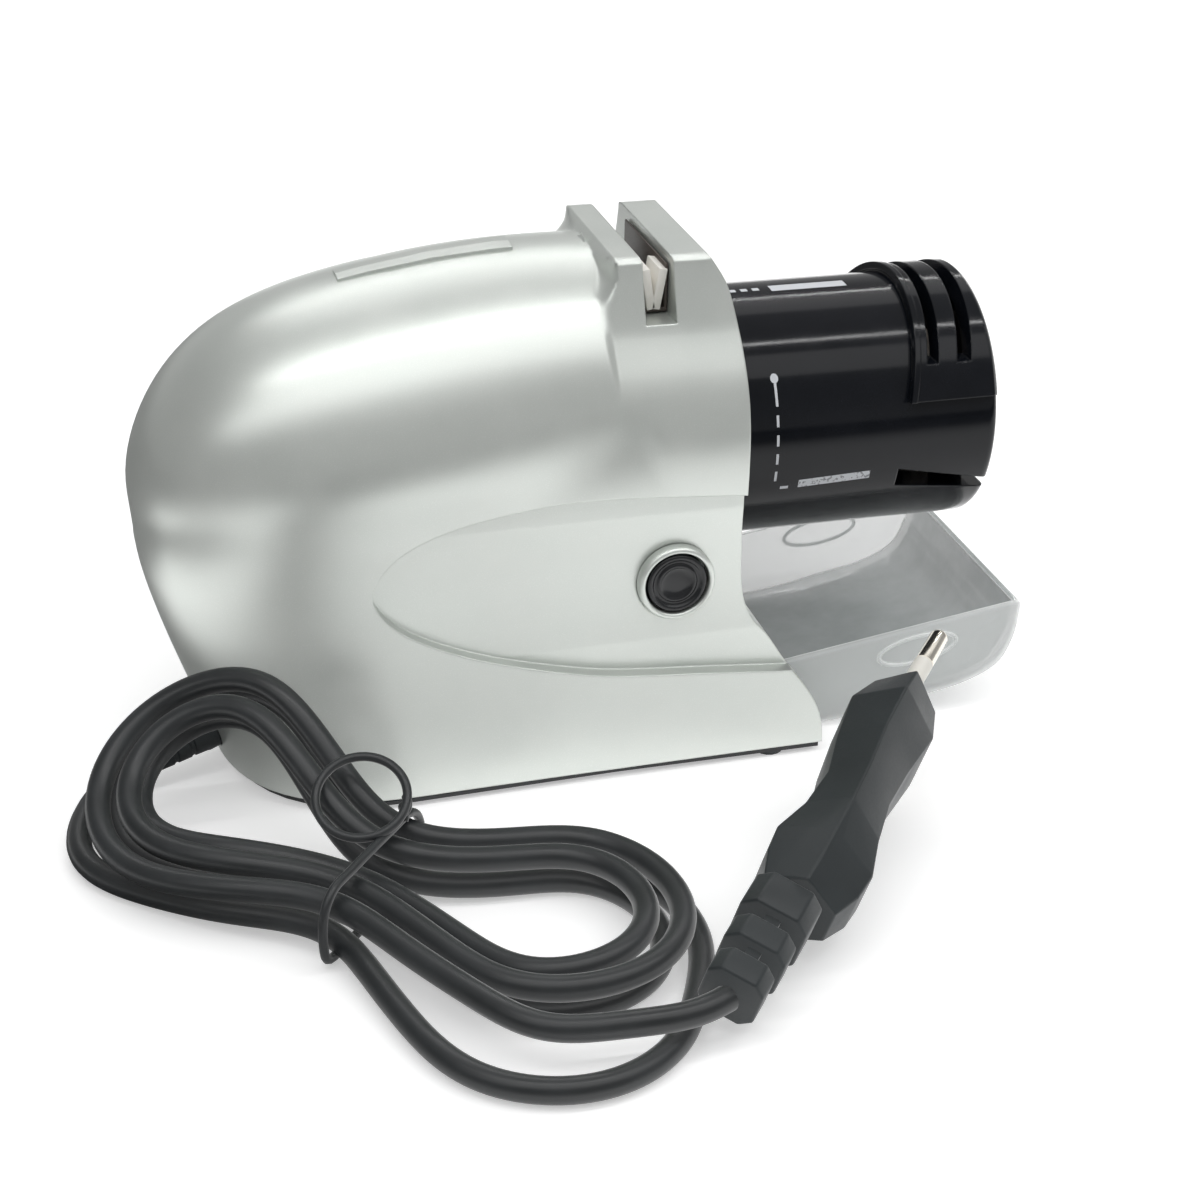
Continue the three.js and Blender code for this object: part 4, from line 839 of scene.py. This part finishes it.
# Whole places are even rays; more rays lie between them where the guide's upper corners are
EVEN = np.arange(ROUND, dtype=float)
CORNERS = (*range(24, 33), *range(39, 48))
RAY_PLACES = np.sort(np.concatenate([EVEN, [i + k / DENSE for i in CORNERS for k in range(1, DENSE)]]))
BARREL_STATIONS = [
    *((FAN_CENTRE, radians(a)) for a in np.linspace(89.2, 0, 40)[:-1]),
    *((x, 0) for x in np.linspace(FAN_CENTRE, BAND_START, 24))]
GUIDE_STATIONS = [(x, 0) for x in (
    *np.linspace(BAND_START, 5.6, 19), *np.linspace(6.5, 12, 7), *np.linspace(14, 52, 15))]


def housing_rings():
    """Sections of the housing's outside, from the tip of the nose to past its front."""
    reach = reaches(BARREL_STATIONS, EVEN, in_barrel)
    for _ in range(7):
        reach = eased_round(reach)
        reach[1:-1] = (reach[:-2] + 2 * reach[1:-1] + reach[2:]) / 4
    reach = between_rays(reach, RAY_PLACES)
    guide_reach = reaches(GUIDE_STATIONS, RAY_PLACES, in_guide)
    softened = guide_reach
    for _ in range(3):
        softened = eased_round(softened)
    levels = np.sin(2 * np.pi * RAY_PLACES / ROUND) * guide_reach[5] + RAY_LEVEL
    guide_reach = np.where(levels < HALF_SOFT_BELOW, softened, guide_reach)
    # The barrel's last sections share the small steps between it and the guide
    step = guide_reach[0] - reach[-1]
    for back in range(STEP_SHARED):
        reach[-1 - back] += np.where(np.abs(step) < STEP_MOST, step, 0) * (1 - back / STEP_SHARED) ** 2
    stations = [*BARREL_STATIONS[:-1], *GUIDE_STATIONS]
    return [np.array([x, 0, RAY_LEVEL]) + ray_ways(RAY_PLACES, angle) * row[:, None]
            for (x, angle), row in zip(stations, [*reach[:-1], *guide_reach])]


def drawn_in(rings, depth):
    """The same sections moved inwards by a wall's thickness."""
    grid = np.array(rings)
    along = np.gradient(grid, axis=0)
    round_way = (np.roll(grid, -1, axis=1) - np.roll(grid, 1, axis=1)) / 2
    out = np.cross(round_way, along)
    out /= np.maximum(np.linalg.norm(out, axis=2, keepdims=True), 1e-9)
    middle = grid.mean(axis=1, keepdims=True)
    if ((grid - middle) * out).sum() < 0:
        out = -out
    return list(grid - out * depth)


def front_outline(back, low):
    """What lies behind the front edge, seen from the side, when that edge moves back."""
    edge = flat_through([(x * NOSE - back, z * TOP) for x, z in FRONT], 1.5)
    edge = [(x, z) for x, z in edge if z > low + 0.5]
    rear, high = -NOSE - 10, TOP + 8
    return [(rear, low), (edge[-1][0], low), *edge[::-1], (edge[0][0] - 0.001, high), (rear, high)]


def leaned(half, level):
    """How far out a side panel lies at a level, as it leans in."""
    return half + (PANEL_LEVEL - level) * PANEL_LEAN


BUTTON_FACE = -leaned(RECESS_FLOOR, BUTTON_LEVEL)


def hollow_tool(rings):
    """The room inside, from every second section and none in the band, where they crowd."""
    plain = [ring[RAY_PLACES % 1 == 0] for ring in rings[3::2] if not BAND_START - 1 < ring[0][0] < 6]
    hollow = loft("hollow_tool", drawn_in(plain, WALL))
    corners = (1, -20), (1, 110), (-1, 110), (-1, -20)
    sides = [(side * leaned(RECESS_CUT - RECESS_WALL, level), level) for side, level in corners]
    trim(hollow, end_prism("hollow_sides", sides), side_prism("hollow_front", front_outline(WALL, -20)))
    return cut(hollow, block("slot_wall", SLOT_START - SLOT_WALL, SLOT_END + SLOT_WALL, -OUT, OUT,
                             SLOT_FLOOR - SLOT_WALL, TOP + 9))


def recess_tool(side):
    """The almond of one side, down to its leaning and slightly hollow floor."""
    corners = [(x * NOSE, z * TOP) for x, z in ALMOND]
    almond = [corners[0], *flat_through(corners[1:-1], 1.2), corners[-1]]
    low, high = -5, 90
    floor = []
    for level in (low, *np.linspace(RECESS_LEVEL - RECESS_REACH, RECESS_LEVEL + RECESS_REACH, 13), high):
        deeper = max(0, 1 - ((level - RECESS_LEVEL) / RECESS_REACH) ** 2) * RECESS_HOLLOW
        floor.append((side * leaned(RECESS_CUT - deeper, level), level))
    keep = end_prism("recess_floor", [(0, low), *floor, (0, high)])
    return cut(side_prism("recess_tool", almond, side * 20, side * OUT), keep)


def button_rod(name, radius, depth, rise):
    start, end = ((BUTTON_X, BUTTON_FACE + y, BUTTON_LEVEL) for y in (-depth, rise))
    return rod(name, radius, start, end, 64)


def make_housing():
    rings = housing_rings()
    case = loft("case_silver", rings)
    trim(case, side_prism("front_tool", front_outline(0, HOUSING_BOTTOM)))
    cut(case, hollow_tool(rings))
    cut(case,
        block("knife_slot", SLOT_START, SLOT_END, -OUT, OUT, SLOT_FLOOR, TOP + 9),
        rod("bore", BORE, (BORE_START, 0, AXIS), (BORE_START + BORE_LENGTH, 0, AXIS), 128),
        block("tray_bay", BAY_START, BAY_END, -BAY_HALF, BAY_HALF, -4, BAY_TOP),
        recess_tool(-1),
        recess_tool(1),
        button_rod("bezel_seat", BEZEL + 0.15, 4, 1.4),
        button_rod("button_hole", BEZEL - BEZEL_WIDTH, 4, 8),
        rod("gland_hole", GLAND_HOLE, GLAND - GLAND_WAY * GLAND_DEEP, GLAND + GLAND_WAY * CORD))
    return dress(smooth(case, 28), silver, "silver_case", "upper_housing")


case_silver = make_housing()

# Button

BUTTON_AT = (BUTTON_X, BUTTON_FACE, BUTTON_LEVEL), (0, -1, 0)

bezel_ring = turned("bezel_ring", in_from(
    0, BEZEL, (1.2, 0), (-0.2, 0), (-0.75, 0.12), (-1.1, 0.4), (-1.3, 0.75), (-1.25, 1.05), (-1, 1.3),
    (-0.5, BEZEL_WIDTH), (1.2, BEZEL_WIDTH)), *BUTTON_AT)
dress(smooth(bezel_ring, 50), silver_small, "silver_case", "button_bezel")

button_top = turned("button_top", [(-2.4, 0), *in_from(
    0, BUTTON, (2.4, 0), (-0.35, 0), (-0.75, 0.15), (-0.95, 0.5), (-0.95, 0.85), (-0.75, 1.15), (-0.35, 1.4),
    (-0.25, 1.9), (-0.35, 2.15), (-0.6, 2.35), (-0.66, 2.7), (-0.5, 3), (-0.2, 3.3)),
    (0.05, 2), (0, 1), (-0.02, 0)], *BUTTON_AT)
dress(smooth(button_top, 50), gloss_black, "gloss_black", "button_cap", body="button")

# Sharpening head

HEAD, HEAD_WALL, HEAD_START, HEAD_END = 27.1, 2.2, 30.9, 87
PAD_RISE, PAD_START, PAD_LOW = 1.8, 66.6, 74
LIP_RISE, LIP_REAR, LIP_FRONT = 2.15, 0.4, 0.9
REAR_SLOT, FRONT_SLOT, SLOTS_LOW, SLOT_LEAN = (70.6, 73.2), (77.4, 80.6), 81, 0.22
CHUTE_HALF = 9.9
SPIGOT, SPIGOT_START = 23, 21
SIDE_SLOT, SIDE_SLOT_REAR, SIDE_SLOT_FRONT = 65, (54.3, 58.7), (50.7, 52.9)


def leaned_span(name, start, end, low):
    """A slab across the head that leans forwards."""
    shift = (TOP - low) * SLOT_LEAN
    return side_prism(name, [(start, low), (end, low), (end + shift, TOP), (start + shift, TOP)])


def wedge(name, grow, end, y0, y1):
    """The shape of the side slot, or of its larger backing."""
    start, (rear_low, rear_high), (front_low, front_high) = SIDE_SLOT - grow, SIDE_SLOT_REAR, SIDE_SLOT_FRONT
    return side_prism(name, [(start, rear_low - grow), (end, front_low - grow), (end, front_high + grow),
                             (start, rear_high + grow)], y0, y1)


def make_sleeve():
    inner, spigot_inner = HEAD - HEAD_WALL, SPIGOT - HEAD_WALL
    step, closed = HEAD_START + HEAD_WALL, HEAD_END - HEAD_WALL
    return turned("head_shell", [
        (SPIGOT_START, spigot_inner), (step, spigot_inner), (step, inner), (closed, inner), (closed, 0),
        (HEAD_END, 0), *in_from(HEAD_END, HEAD, (0, 2.1), (0.14, 1.2), (0.55, 0.5), (1.2, 0.12), (2.1, 0)),
        (HEAD_START, HEAD), (HEAD_START, SPIGOT), (SPIGOT_START, SPIGOT)], steps=160)


def raised(name, start, end, rise, *corners):
    """Part of a ring round the head, between two leaning planes."""
    rear = PAD_START - 3
    profile = [(rear, corners[0][1]), *corners, (rear, HEAD + rise)]
    return trim(turned(name, profile, steps=160), leaned_span(name + "_span", start, end, PAD_LOW))


def make_backing():
    """Walls behind the side slot, so that it looks into a room of its own."""
    backing = wedge("slot_backing", 2.2, HEAD_END - 1.1, -HEAD, -HEAD + 10.5)
    middle = (40, 0, AXIS)
    trim(backing, rod("backing_round", HEAD - 1.1, middle, (HEAD_END, 0, AXIS), 96))
    return cut(backing, rod("backing_bore", 18.5, middle, (HEAD_END + 2, 0, AXIS), 64))


def make_head():
    """The sleeve with its pad, the low lip at the pad's rear edge, and its slots."""
    head = make_sleeve()
    pad = in_from(HEAD_END, HEAD, (0.7, 1.1), (0.7, -0.7), (1.1, -1.3), (1.8, -PAD_RISE))
    lip = in_from(HEAD_END, HEAD, (0, -0.5), (0, -LIP_RISE))
    join(head,
         raised("pad", PAD_START, HEAD_END + 2, PAD_RISE, *pad),
         raised("lip", PAD_START - LIP_REAR, PAD_START + LIP_FRONT, LIP_RISE, *lip),
         make_backing())
    cut(head,
        block("chute", REAR_SLOT[0], FRONT_SLOT[0], -CHUTE_HALF, CHUTE_HALF, 0, AXIS - SPIGOT / 2),
        leaned_span("rear_knife_slot", *REAR_SLOT, SLOTS_LOW),
        leaned_span("front_knife_slot", *FRONT_SLOT, SLOTS_LOW),
        wedge("side_slot", 0, HEAD_END + 4, -OUT, -HEAD + 14.5))
    return dress(smooth(head, 30), head_black, "gloss_black", "head_sleeve", body="sharpening_head")


head_shell = make_head()

mouth_ring = turned("mouth_ring", [
    (19.6, SPIGOT + 0.5), (30, SPIGOT + 0.5), *in_from(30, HEAD, (0, 0.7), (0.2, 0.25), (0.6, 0)),
    (19.6, HEAD)], steps=128)
dress(smooth(mouth_ring, 40), dark_plastic, "dark_plastic", "head_ring", body="turning_ring")

# Knife guide

HOLDER_NEAR, HOLDER_FAR, HOLDER_HEIGHT, HOLDER_WALL = -17.4, 13, 10.4, 0.75
HONE_LEAN, HONE_SIDE, HONE_HALF, HONE_HEIGHT = 0.17, 0.45, 0.9, 8.6
HONE_FLOOR = SLOT_FLOOR + 1.1

holder = block("hone_holder", SLOT_START + 0.2, SLOT_END - 0.2, HOLDER_NEAR, HOLDER_FAR, SLOT_FLOOR + 0.3,
               SLOT_FLOOR + HOLDER_HEIGHT)
cut(holder, block("hone_channel", SLOT_START + HOLDER_WALL, SLOT_END - HOLDER_WALL, -OUT, OUT, HONE_FLOOR,
                  TOP + 5))
dress(soften(holder, 0.25), holder_brown, "holder_brown", "honing_holder")


def make_hone(side, name, node):
    """One leaning plate of the V, with its corners eased."""
    middle = (SLOT_START + SLOT_END) / 2
    plate = block(name, -HONE_HALF, HONE_HALF, -18.2, -9.4, 0, HONE_HEIGHT)
    plate.rotation_euler = (0, side * HONE_LEAN, 0)
    plate.location = Vector((middle + side * HONE_SIDE, 0, HONE_FLOOR)) * MM
    return dress(soften(settle(plate), 0.18), ceramic_white, "ceramic_white", node)


make_hone(-1, "hone_rear", "honing_plate_left")
make_hone(1, "hone_front", "honing_plate_right")

# Tray

# Along its underside and front, as shares of its reach and of its rim's height
TRAY = [(0.47, 0.035), (0.62, 0.075), (0.78, 0.19), (0.88, 0.27), (0.957, 0.42), (0.99, 0.66), (1, 0.97)]
GRIP_X, GRIP_LEVEL, GRIP_LONG, GRIP_HIGH, GRIP_SLANT = 71, 17, 9, 3.2, 1.2


def circle(steps):
    return [2 * pi * k / steps for k in range(steps)]


def make_tray():
    scaled = [(x * TRAY_REACH, z * TRAY_RIM) for x, z in TRAY]
    curve = flat_through([(TRAY_START + 2, 0.9), *scaled, (TRAY_REACH, TRAY_RIM)], 1.5)
    outer = [(TRAY_START, TRAY_REAR), (TRAY_START, 1.4), (TRAY_START + 0.5, 0.9), *curve]
    tray = side_prism("tray_clear", outer, -TRAY_HALF, TRAY_HALF)
    soften(tray, 0.7, 3, 50)
    rear = TRAY_START + TRAY_WALL
    inner = [(x - TRAY_WALL, z + TRAY_WALL * (1 if z < 18 else 0.4)) for x, z in curve[2:]]
    inner = [(rear, OUT), (rear, 2.5), *inner, (TRAY_REACH - TRAY_WALL, OUT)]
    cut(tray, side_prism("tray_hollow", inner, -TRAY_HALF + TRAY_WALL, TRAY_HALF - TRAY_WALL))
    grips = []
    for side in (-1, 1):
        y0, y1 = sorted((side * (TRAY_HALF - 0.4), side * (TRAY_HALF + 1.7)))
        join(tray, block("tray_rail", TRAY_START + 0.6, TRAY_START + 17, y0, y1, 3.9, 5.3))
        oval = [(GRIP_X + GRIP_LONG * cos(a), side * (TRAY_HALF + 0.02),
                 GRIP_LEVEL + GRIP_HIGH * sin(a) + GRIP_SLANT * cos(a)) for a in circle(40)]
        grips.append(wire_mesh("grip_ridge", oval, 0.32, 2, True))
    tray = gather("tray_clear", [smooth(tray, 30), *grips])
    return dress(tray, clear_plastic, "clear_plastic", "shavings_tray", body="tray")


tray_clear = make_tray()

# Plug and its strain relief

PLUG_LENGTH, PLUG_HALF, PLUG_THICKNESS, PLUG_FLAT = 60, 16, 7.4, 0.2
PLUG_START = RELIEF_LENGTH + 0.3
PLUG_END = PLUG_START + PLUG_LENGTH
PIN, PIN_LENGTH, PIN_SLEEVE, PIN_SPACING = 2, 19, 8, 18.6
# Along the plug: how far, its half width, its half thickness and how far its middle lies to one side
PLUG = [(0, 0.55, 1, 0.25), (0.1, 0.64, 1.28, 0.27), (0.2, 0.72, 1.35, 0.25), (0.34, 0.8, 1.05, 0.25),
        (0.5, 0.9, 0.9, 0.18), (0.66, 1, 1.05, 0.05), (0.86, 1, 1.22, 0), (1, 0.86, 0.92, 0)]
RIB_WIDE, RIB_THICK, RIB_GROWTH, RIB_GAP, WEB, WEB_BITE = 5.92, 5.62, 0.1, 0.3, 4.44, 0.6
RIB = [(1, 0.6), (0.6, 1), (-0.6, 1), (-1, 0.6), (-1, -0.6), (-0.6, -1), (0.6, -1), (1, -0.6)]


def plug_point(s, w, t):
    return PLUG_ROOT + PLUG_WAY * s + PLUG_UP * w + PLUG_THICK * t


def make_plug():
    rings = []
    for s, w, t, shift in PLUG:
        half, thick = w * PLUG_HALF, t * PLUG_THICKNESS
        edge = PLUG_FLAT * thick
        upper = [(1, 0), (0.9, edge), (0.45, thick), (-0.45, thick), (-0.9, edge)]
        rings.append([plug_point(PLUG_START + s * PLUG_LENGTH, half * a, b + shift * PLUG_THICKNESS)
                      for a, b in (*upper, *((-a, -b) for a, b in upper))])
    plug = loft("plug_shell", rings)
    soften(plug, 0.35, 2, 9)
    for side in (-1, 1):
        seat = [plug_point(PLUG_END + s, side * PIN_SPACING / 2, 0) for s in (-6, 4)]
        cut(plug, rod("pin_seat", PIN + 0.2, *seat, 24))
    return dress(smooth(plug, 14), rubber_black, "cord_black", "plug_body")


def make_contact(number, side):
    """One round pin and the white sleeve at its root."""
    root, tip = plug_point(PLUG_END, side * PIN_SPACING / 2, 0), PIN_LENGTH
    sleeve = turned(f"pin_collar_{number}", [
        (-5.7, 0), (-5.7, PIN), (PIN_SLEEVE - 0.35, PIN), (PIN_SLEEVE, PIN - 0.3), (PIN_SLEEVE, 0)],
        root, PLUG_WAY, 48)
    dress(smooth(sleeve, 40), sleeve_white, "sleeve_white", f"pin_sleeve_{number}")
    pin = turned(f"contact_pin_{number}", [
        (PIN_SLEEVE + 0.05, 0), (PIN_SLEEVE + 0.05, PIN - 0.05),
        *in_from(tip, PIN, (1.9, 0.02), (1.1, 0.3), (0.45, 0.8), (0.1, 1.35), (0, 1.8)), (tip, 0)],
        root, PLUG_WAY, 48)
    dress(smooth(pin, 50), pin_nickel, "pin_nickel", f"plug_pin_{number}")
    return [sleeve, pin]


def make_relief():
    """Three ribs over a soft core, joined by narrow webs with windows between them."""
    parts = [rod("relief_core", CORD / 2 + 0.25, plug_point(0.2, 0, 0), plug_point(RELIEF_LENGTH, 0, 0))]
    step = RELIEF_LENGTH / 3
    for i in range(3):
        last = i == 2
        s0, s1 = i * step + 0.1, (i + 1 - (0 if last else RIB_GAP)) * step
        grow = 1 + RIB_GROWTH * i
        rings = [[plug_point(s, a * grow * RIB_WIDE, b * grow * RIB_THICK) for a, b in RIB]
                 for s in (s0, (s0 + s1) / 2, s1)]
        parts.append(soften(loft("relief_rib", rings), 0.55, 3, 40))
        for a0, a1 in () if last else ((0.25, 1), (-1, -0.25)):
            flat = [(a0, -0.3), (a1, -0.3), (a1, 0.3), (a0, 0.3)]
            rings = [[plug_point(s, a * grow * WEB, b * grow * WEB) for a, b in flat]
                     for s in (s1 - WEB_BITE, (i + 1) * step + WEB_BITE)]
            parts.append(loft("relief_web", rings))
    return dress(smooth(gather("relief_ribs", parts)), rubber_black, "cord_black", "plug_strain_relief")


plug_pieces = [make_plug(), *make_contact(1, 1), *make_contact(2, -1), make_relief()]

gland = turned("gland_cone", [
    (-6, 0), (-6, 4.9), (-3.3, 4.9), (-3.3, 4.2), (3.2, 4.2), (3.9, 4), (6.4, 3.75), (6.6, 3.45),
    (7.4, 3.45), (7.6, 3.68), (10.4, 3.45), (10.6, 3.15), (11.4, 3.15), (11.6, 3.4), (14.4, 3.15),
    (14.6, 2.9), (15.4, 2.9), (15.6, 3.1), (21.2, 2.8), (GLAND_LENGTH, 2.6), (GLAND_LENGTH, 0)],
    GLAND, GLAND_WAY, 48)
dress(smooth(gland), rubber_black, "cord_black", "cord_gland")

# Tie

TIE, TWIST = 0.9, 0.75
TIE_HALF, TIE_LOW, TIE_HIGH, TIE_SHIFT = 18.8, 1.25, 16, -2.2
TIE_SHARES = [(-1, 0.3), (-0.97, 0.75), (-0.8, 0.97), (-0.4, 1), (0.4, 1), (0.8, 0.97), (0.97, 0.75),
              (1, 0.3), (0.94, 0.06), (0.6, 0), (-0.6, 0), (-0.94, 0.06)]
LOOP, LOOP_LIFT = 8.8, 5
LOOP_UP, LOOP_SIDE = Vector((0.234, 0.834, 0.5)).normalized(), Vector((-0.963, 0.27, 0)).normalized()
TWIST_STEPS, TWIST_TURN, TWIST_RADIUS = 24, 1.9 * pi, 0.62


def make_tie():
    """A band round the hank's waist, and the free loop of its twisted ends."""
    way = hank_way(0.5)
    across = Vector((-way.y, way.x, 0))
    middle = hank_line(0.5) + across * TIE_SHIFT

    def tie_point(v, z):
        return middle + across * (v * TIE_HALF) + Vector((0, 0, TIE_LOW + z * (TIE_HIGH - TIE_LOW)))

    band = through([tie_point(v, z) for v, z in TIE_SHARES], 1.2, True)
    knot = tie_point(0.6, 1)
    loop_middle = knot + LOOP_SIDE * (0.86 * LOOP) + Vector((0, 0, LOOP_LIFT))
    loop = [loop_middle - LOOP_SIDE * (LOOP * cos(a)) + LOOP_UP * (LOOP * sin(a))
            for a in circle(60)]
    parts = [wire_mesh("tie_band", band, TIE, 4, True), wire_mesh("tie_loop", loop, TIE, 4, True)]
    for strand in (0, 1):
        twist = []
        for k in range(TWIST_STEPS + 1):
            turn = TWIST_TURN * k / TWIST_STEPS + strand * pi
            aside = (way * cos(turn) + across * sin(turn)) * TWIST_RADIUS
            twist.append(knot.lerp(loop[0], k / TWIST_STEPS) + aside)
        parts.append(wire_mesh("tie_twist", twist, TWIST, 3))
    return dress(gather("tie_wire", parts), cord_black, "cord_black", "cord_tie")


tie_wire = make_tie()

dress(mains_cord, cord_black, "cord_black", "cord_lead", "cord_hank", "cord_tail")
# The photo is put together from two: its silver case doesn't mirror the cord and the plug
for piece in [mains_cord, *plug_pieces]:
    piece.visible_glossy = False

# Solids that stay, with their finishes

KEPT = {
    silver_small: "top_plate",
    dark_plastic: "base_plate switch_body motor_end_cap capacitor",
    screw_steel: "motor_can motor_shaft wheel_hub motor_bracket motor_screw_1 motor_screw_2 bracket_screw_1 "
                 "bracket_screw_2 base_screw_1 base_screw_2 base_screw_3 base_screw_4",
    bearing_brass: "shaft_bush_front wheel_nut",
    magnet_grey: "motor_magnet_upper motor_magnet_lower",
    winding_copper: "armature commutator",
    carbon_black: "brush_near brush_far",
    wheel_stone: "grinding_wheel",
    board_green: "circuit_board",
    gloss_black: "rectifier",
    rubber_black: "foot_1 foot_2 foot_3 foot_4",
}
for material, names in KEPT.items():
    for name in names.split():
        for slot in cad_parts[name].material_slots:
            slot.material = material

# Floor and light, in metres: the floor is white to the eye, and dark with two pale patches in mirrors

FLOOR_SIZE, EYE_GLOW, MIRROR_GLOW = 9, 0.42, 0.78
SKY = [(0, 0.52), (0.22, 0.4), (0.5, 0.36), (0.8, 0.48), (1, 0.55)]
LAMP_HEIGHT = 0.9


def grey(level):
    return (level, level, level)


def make_floor():
    floor = added("floor", bpy.ops.mesh.primitive_plane_add, size=FLOOR_SIZE)
    f = Finish("floor_white")
    x, y, _ = f.axes()
    eye, through_clear, mirror = (f.node("LightPath", out=f"Is {kind} Ray")
                                  for kind in ("Camera", "Transmission", "Glossy"))
    right = f.stepped(x, -110, -32) * f.stepped(y, -380, -150)
    left = f.stepped(x, -300, -220) * (1 - f.stepped(x, -140, -120))
    pale = right.max(left * f.stepped(y, -300, -230) * (1 - f.stepped(y, 0, 70)))
    plain = f.tint(f.noise(60), grey(0.80), grey(0.81))
    glow = eye.max(through_clear) * EYE_GLOW + mirror * pale * MIRROR_GLOW
    f.surface(Base_Color=f.tint(mirror * (1 - pale), plain, grey(0.18)), Roughness=0.9,
              Specular_IOR_Level=0, Emission_Color=(1, 1, 1, 1), Emission_Strength=glow)
    floor.data.materials.append(f.owner)


def make_sky():
    """White to the eye. What it lights sees grey, darker over the horizon and at the left."""
    f = Finish("studio_room", bpy.data.worlds, "OutputWorld")
    bpy.context.scene.world = f.owner
    x, _, z = f.split(f.node("TexCoord", out="Generated"))
    room = f.node("ValToRGB", {0: z})
    stops = room.socket.node.color_ramp.elements
    for at, level in SKY[1:-1]:
        stops.new(at)
    for stop, (at, level) in zip(stops, SKY):
        stop.position, stop.color = at, (*grey(level), 1)
    room = f.node("VectorMath", {0: room, "Scale": f.stepped(x, -0.9, -0.25, 0.65)}, operation="SCALE")
    seen = f.tint(f.node("LightPath", out="Is Camera Ray"), room, grey(1))
    f.show(f.node("Background", {"Color": seen}))


def soft_lamp(name, x, y, wide, high, power):
    """A rectangle of even light overhead."""
    lamp = added(name, bpy.ops.object.light_add, type="AREA")
    lamp.data.shape = "RECTANGLE"
    lamp.data.size, lamp.data.size_y = wide, high
    lamp.data.energy = power
    lamp.location = (x, y, LAMP_HEIGHT)


make_floor()
make_sky()
soft_lamp("front_softbox", -0.25, -0.56, 2.6, 0.45, 4.9)
soft_lamp("front_strip", 0.3, -0.16, 1.8, 0.014, 3.2)
soft_lamp("rear_softbox", 0.55, 0.58, 1.8, 0.45, 2.2)
soft_lamp("rear_strip", 0.4, 0.88, 1.6, 0.014, 3.2)
bpy.context.scene.view_settings.view_transform = "Standard"
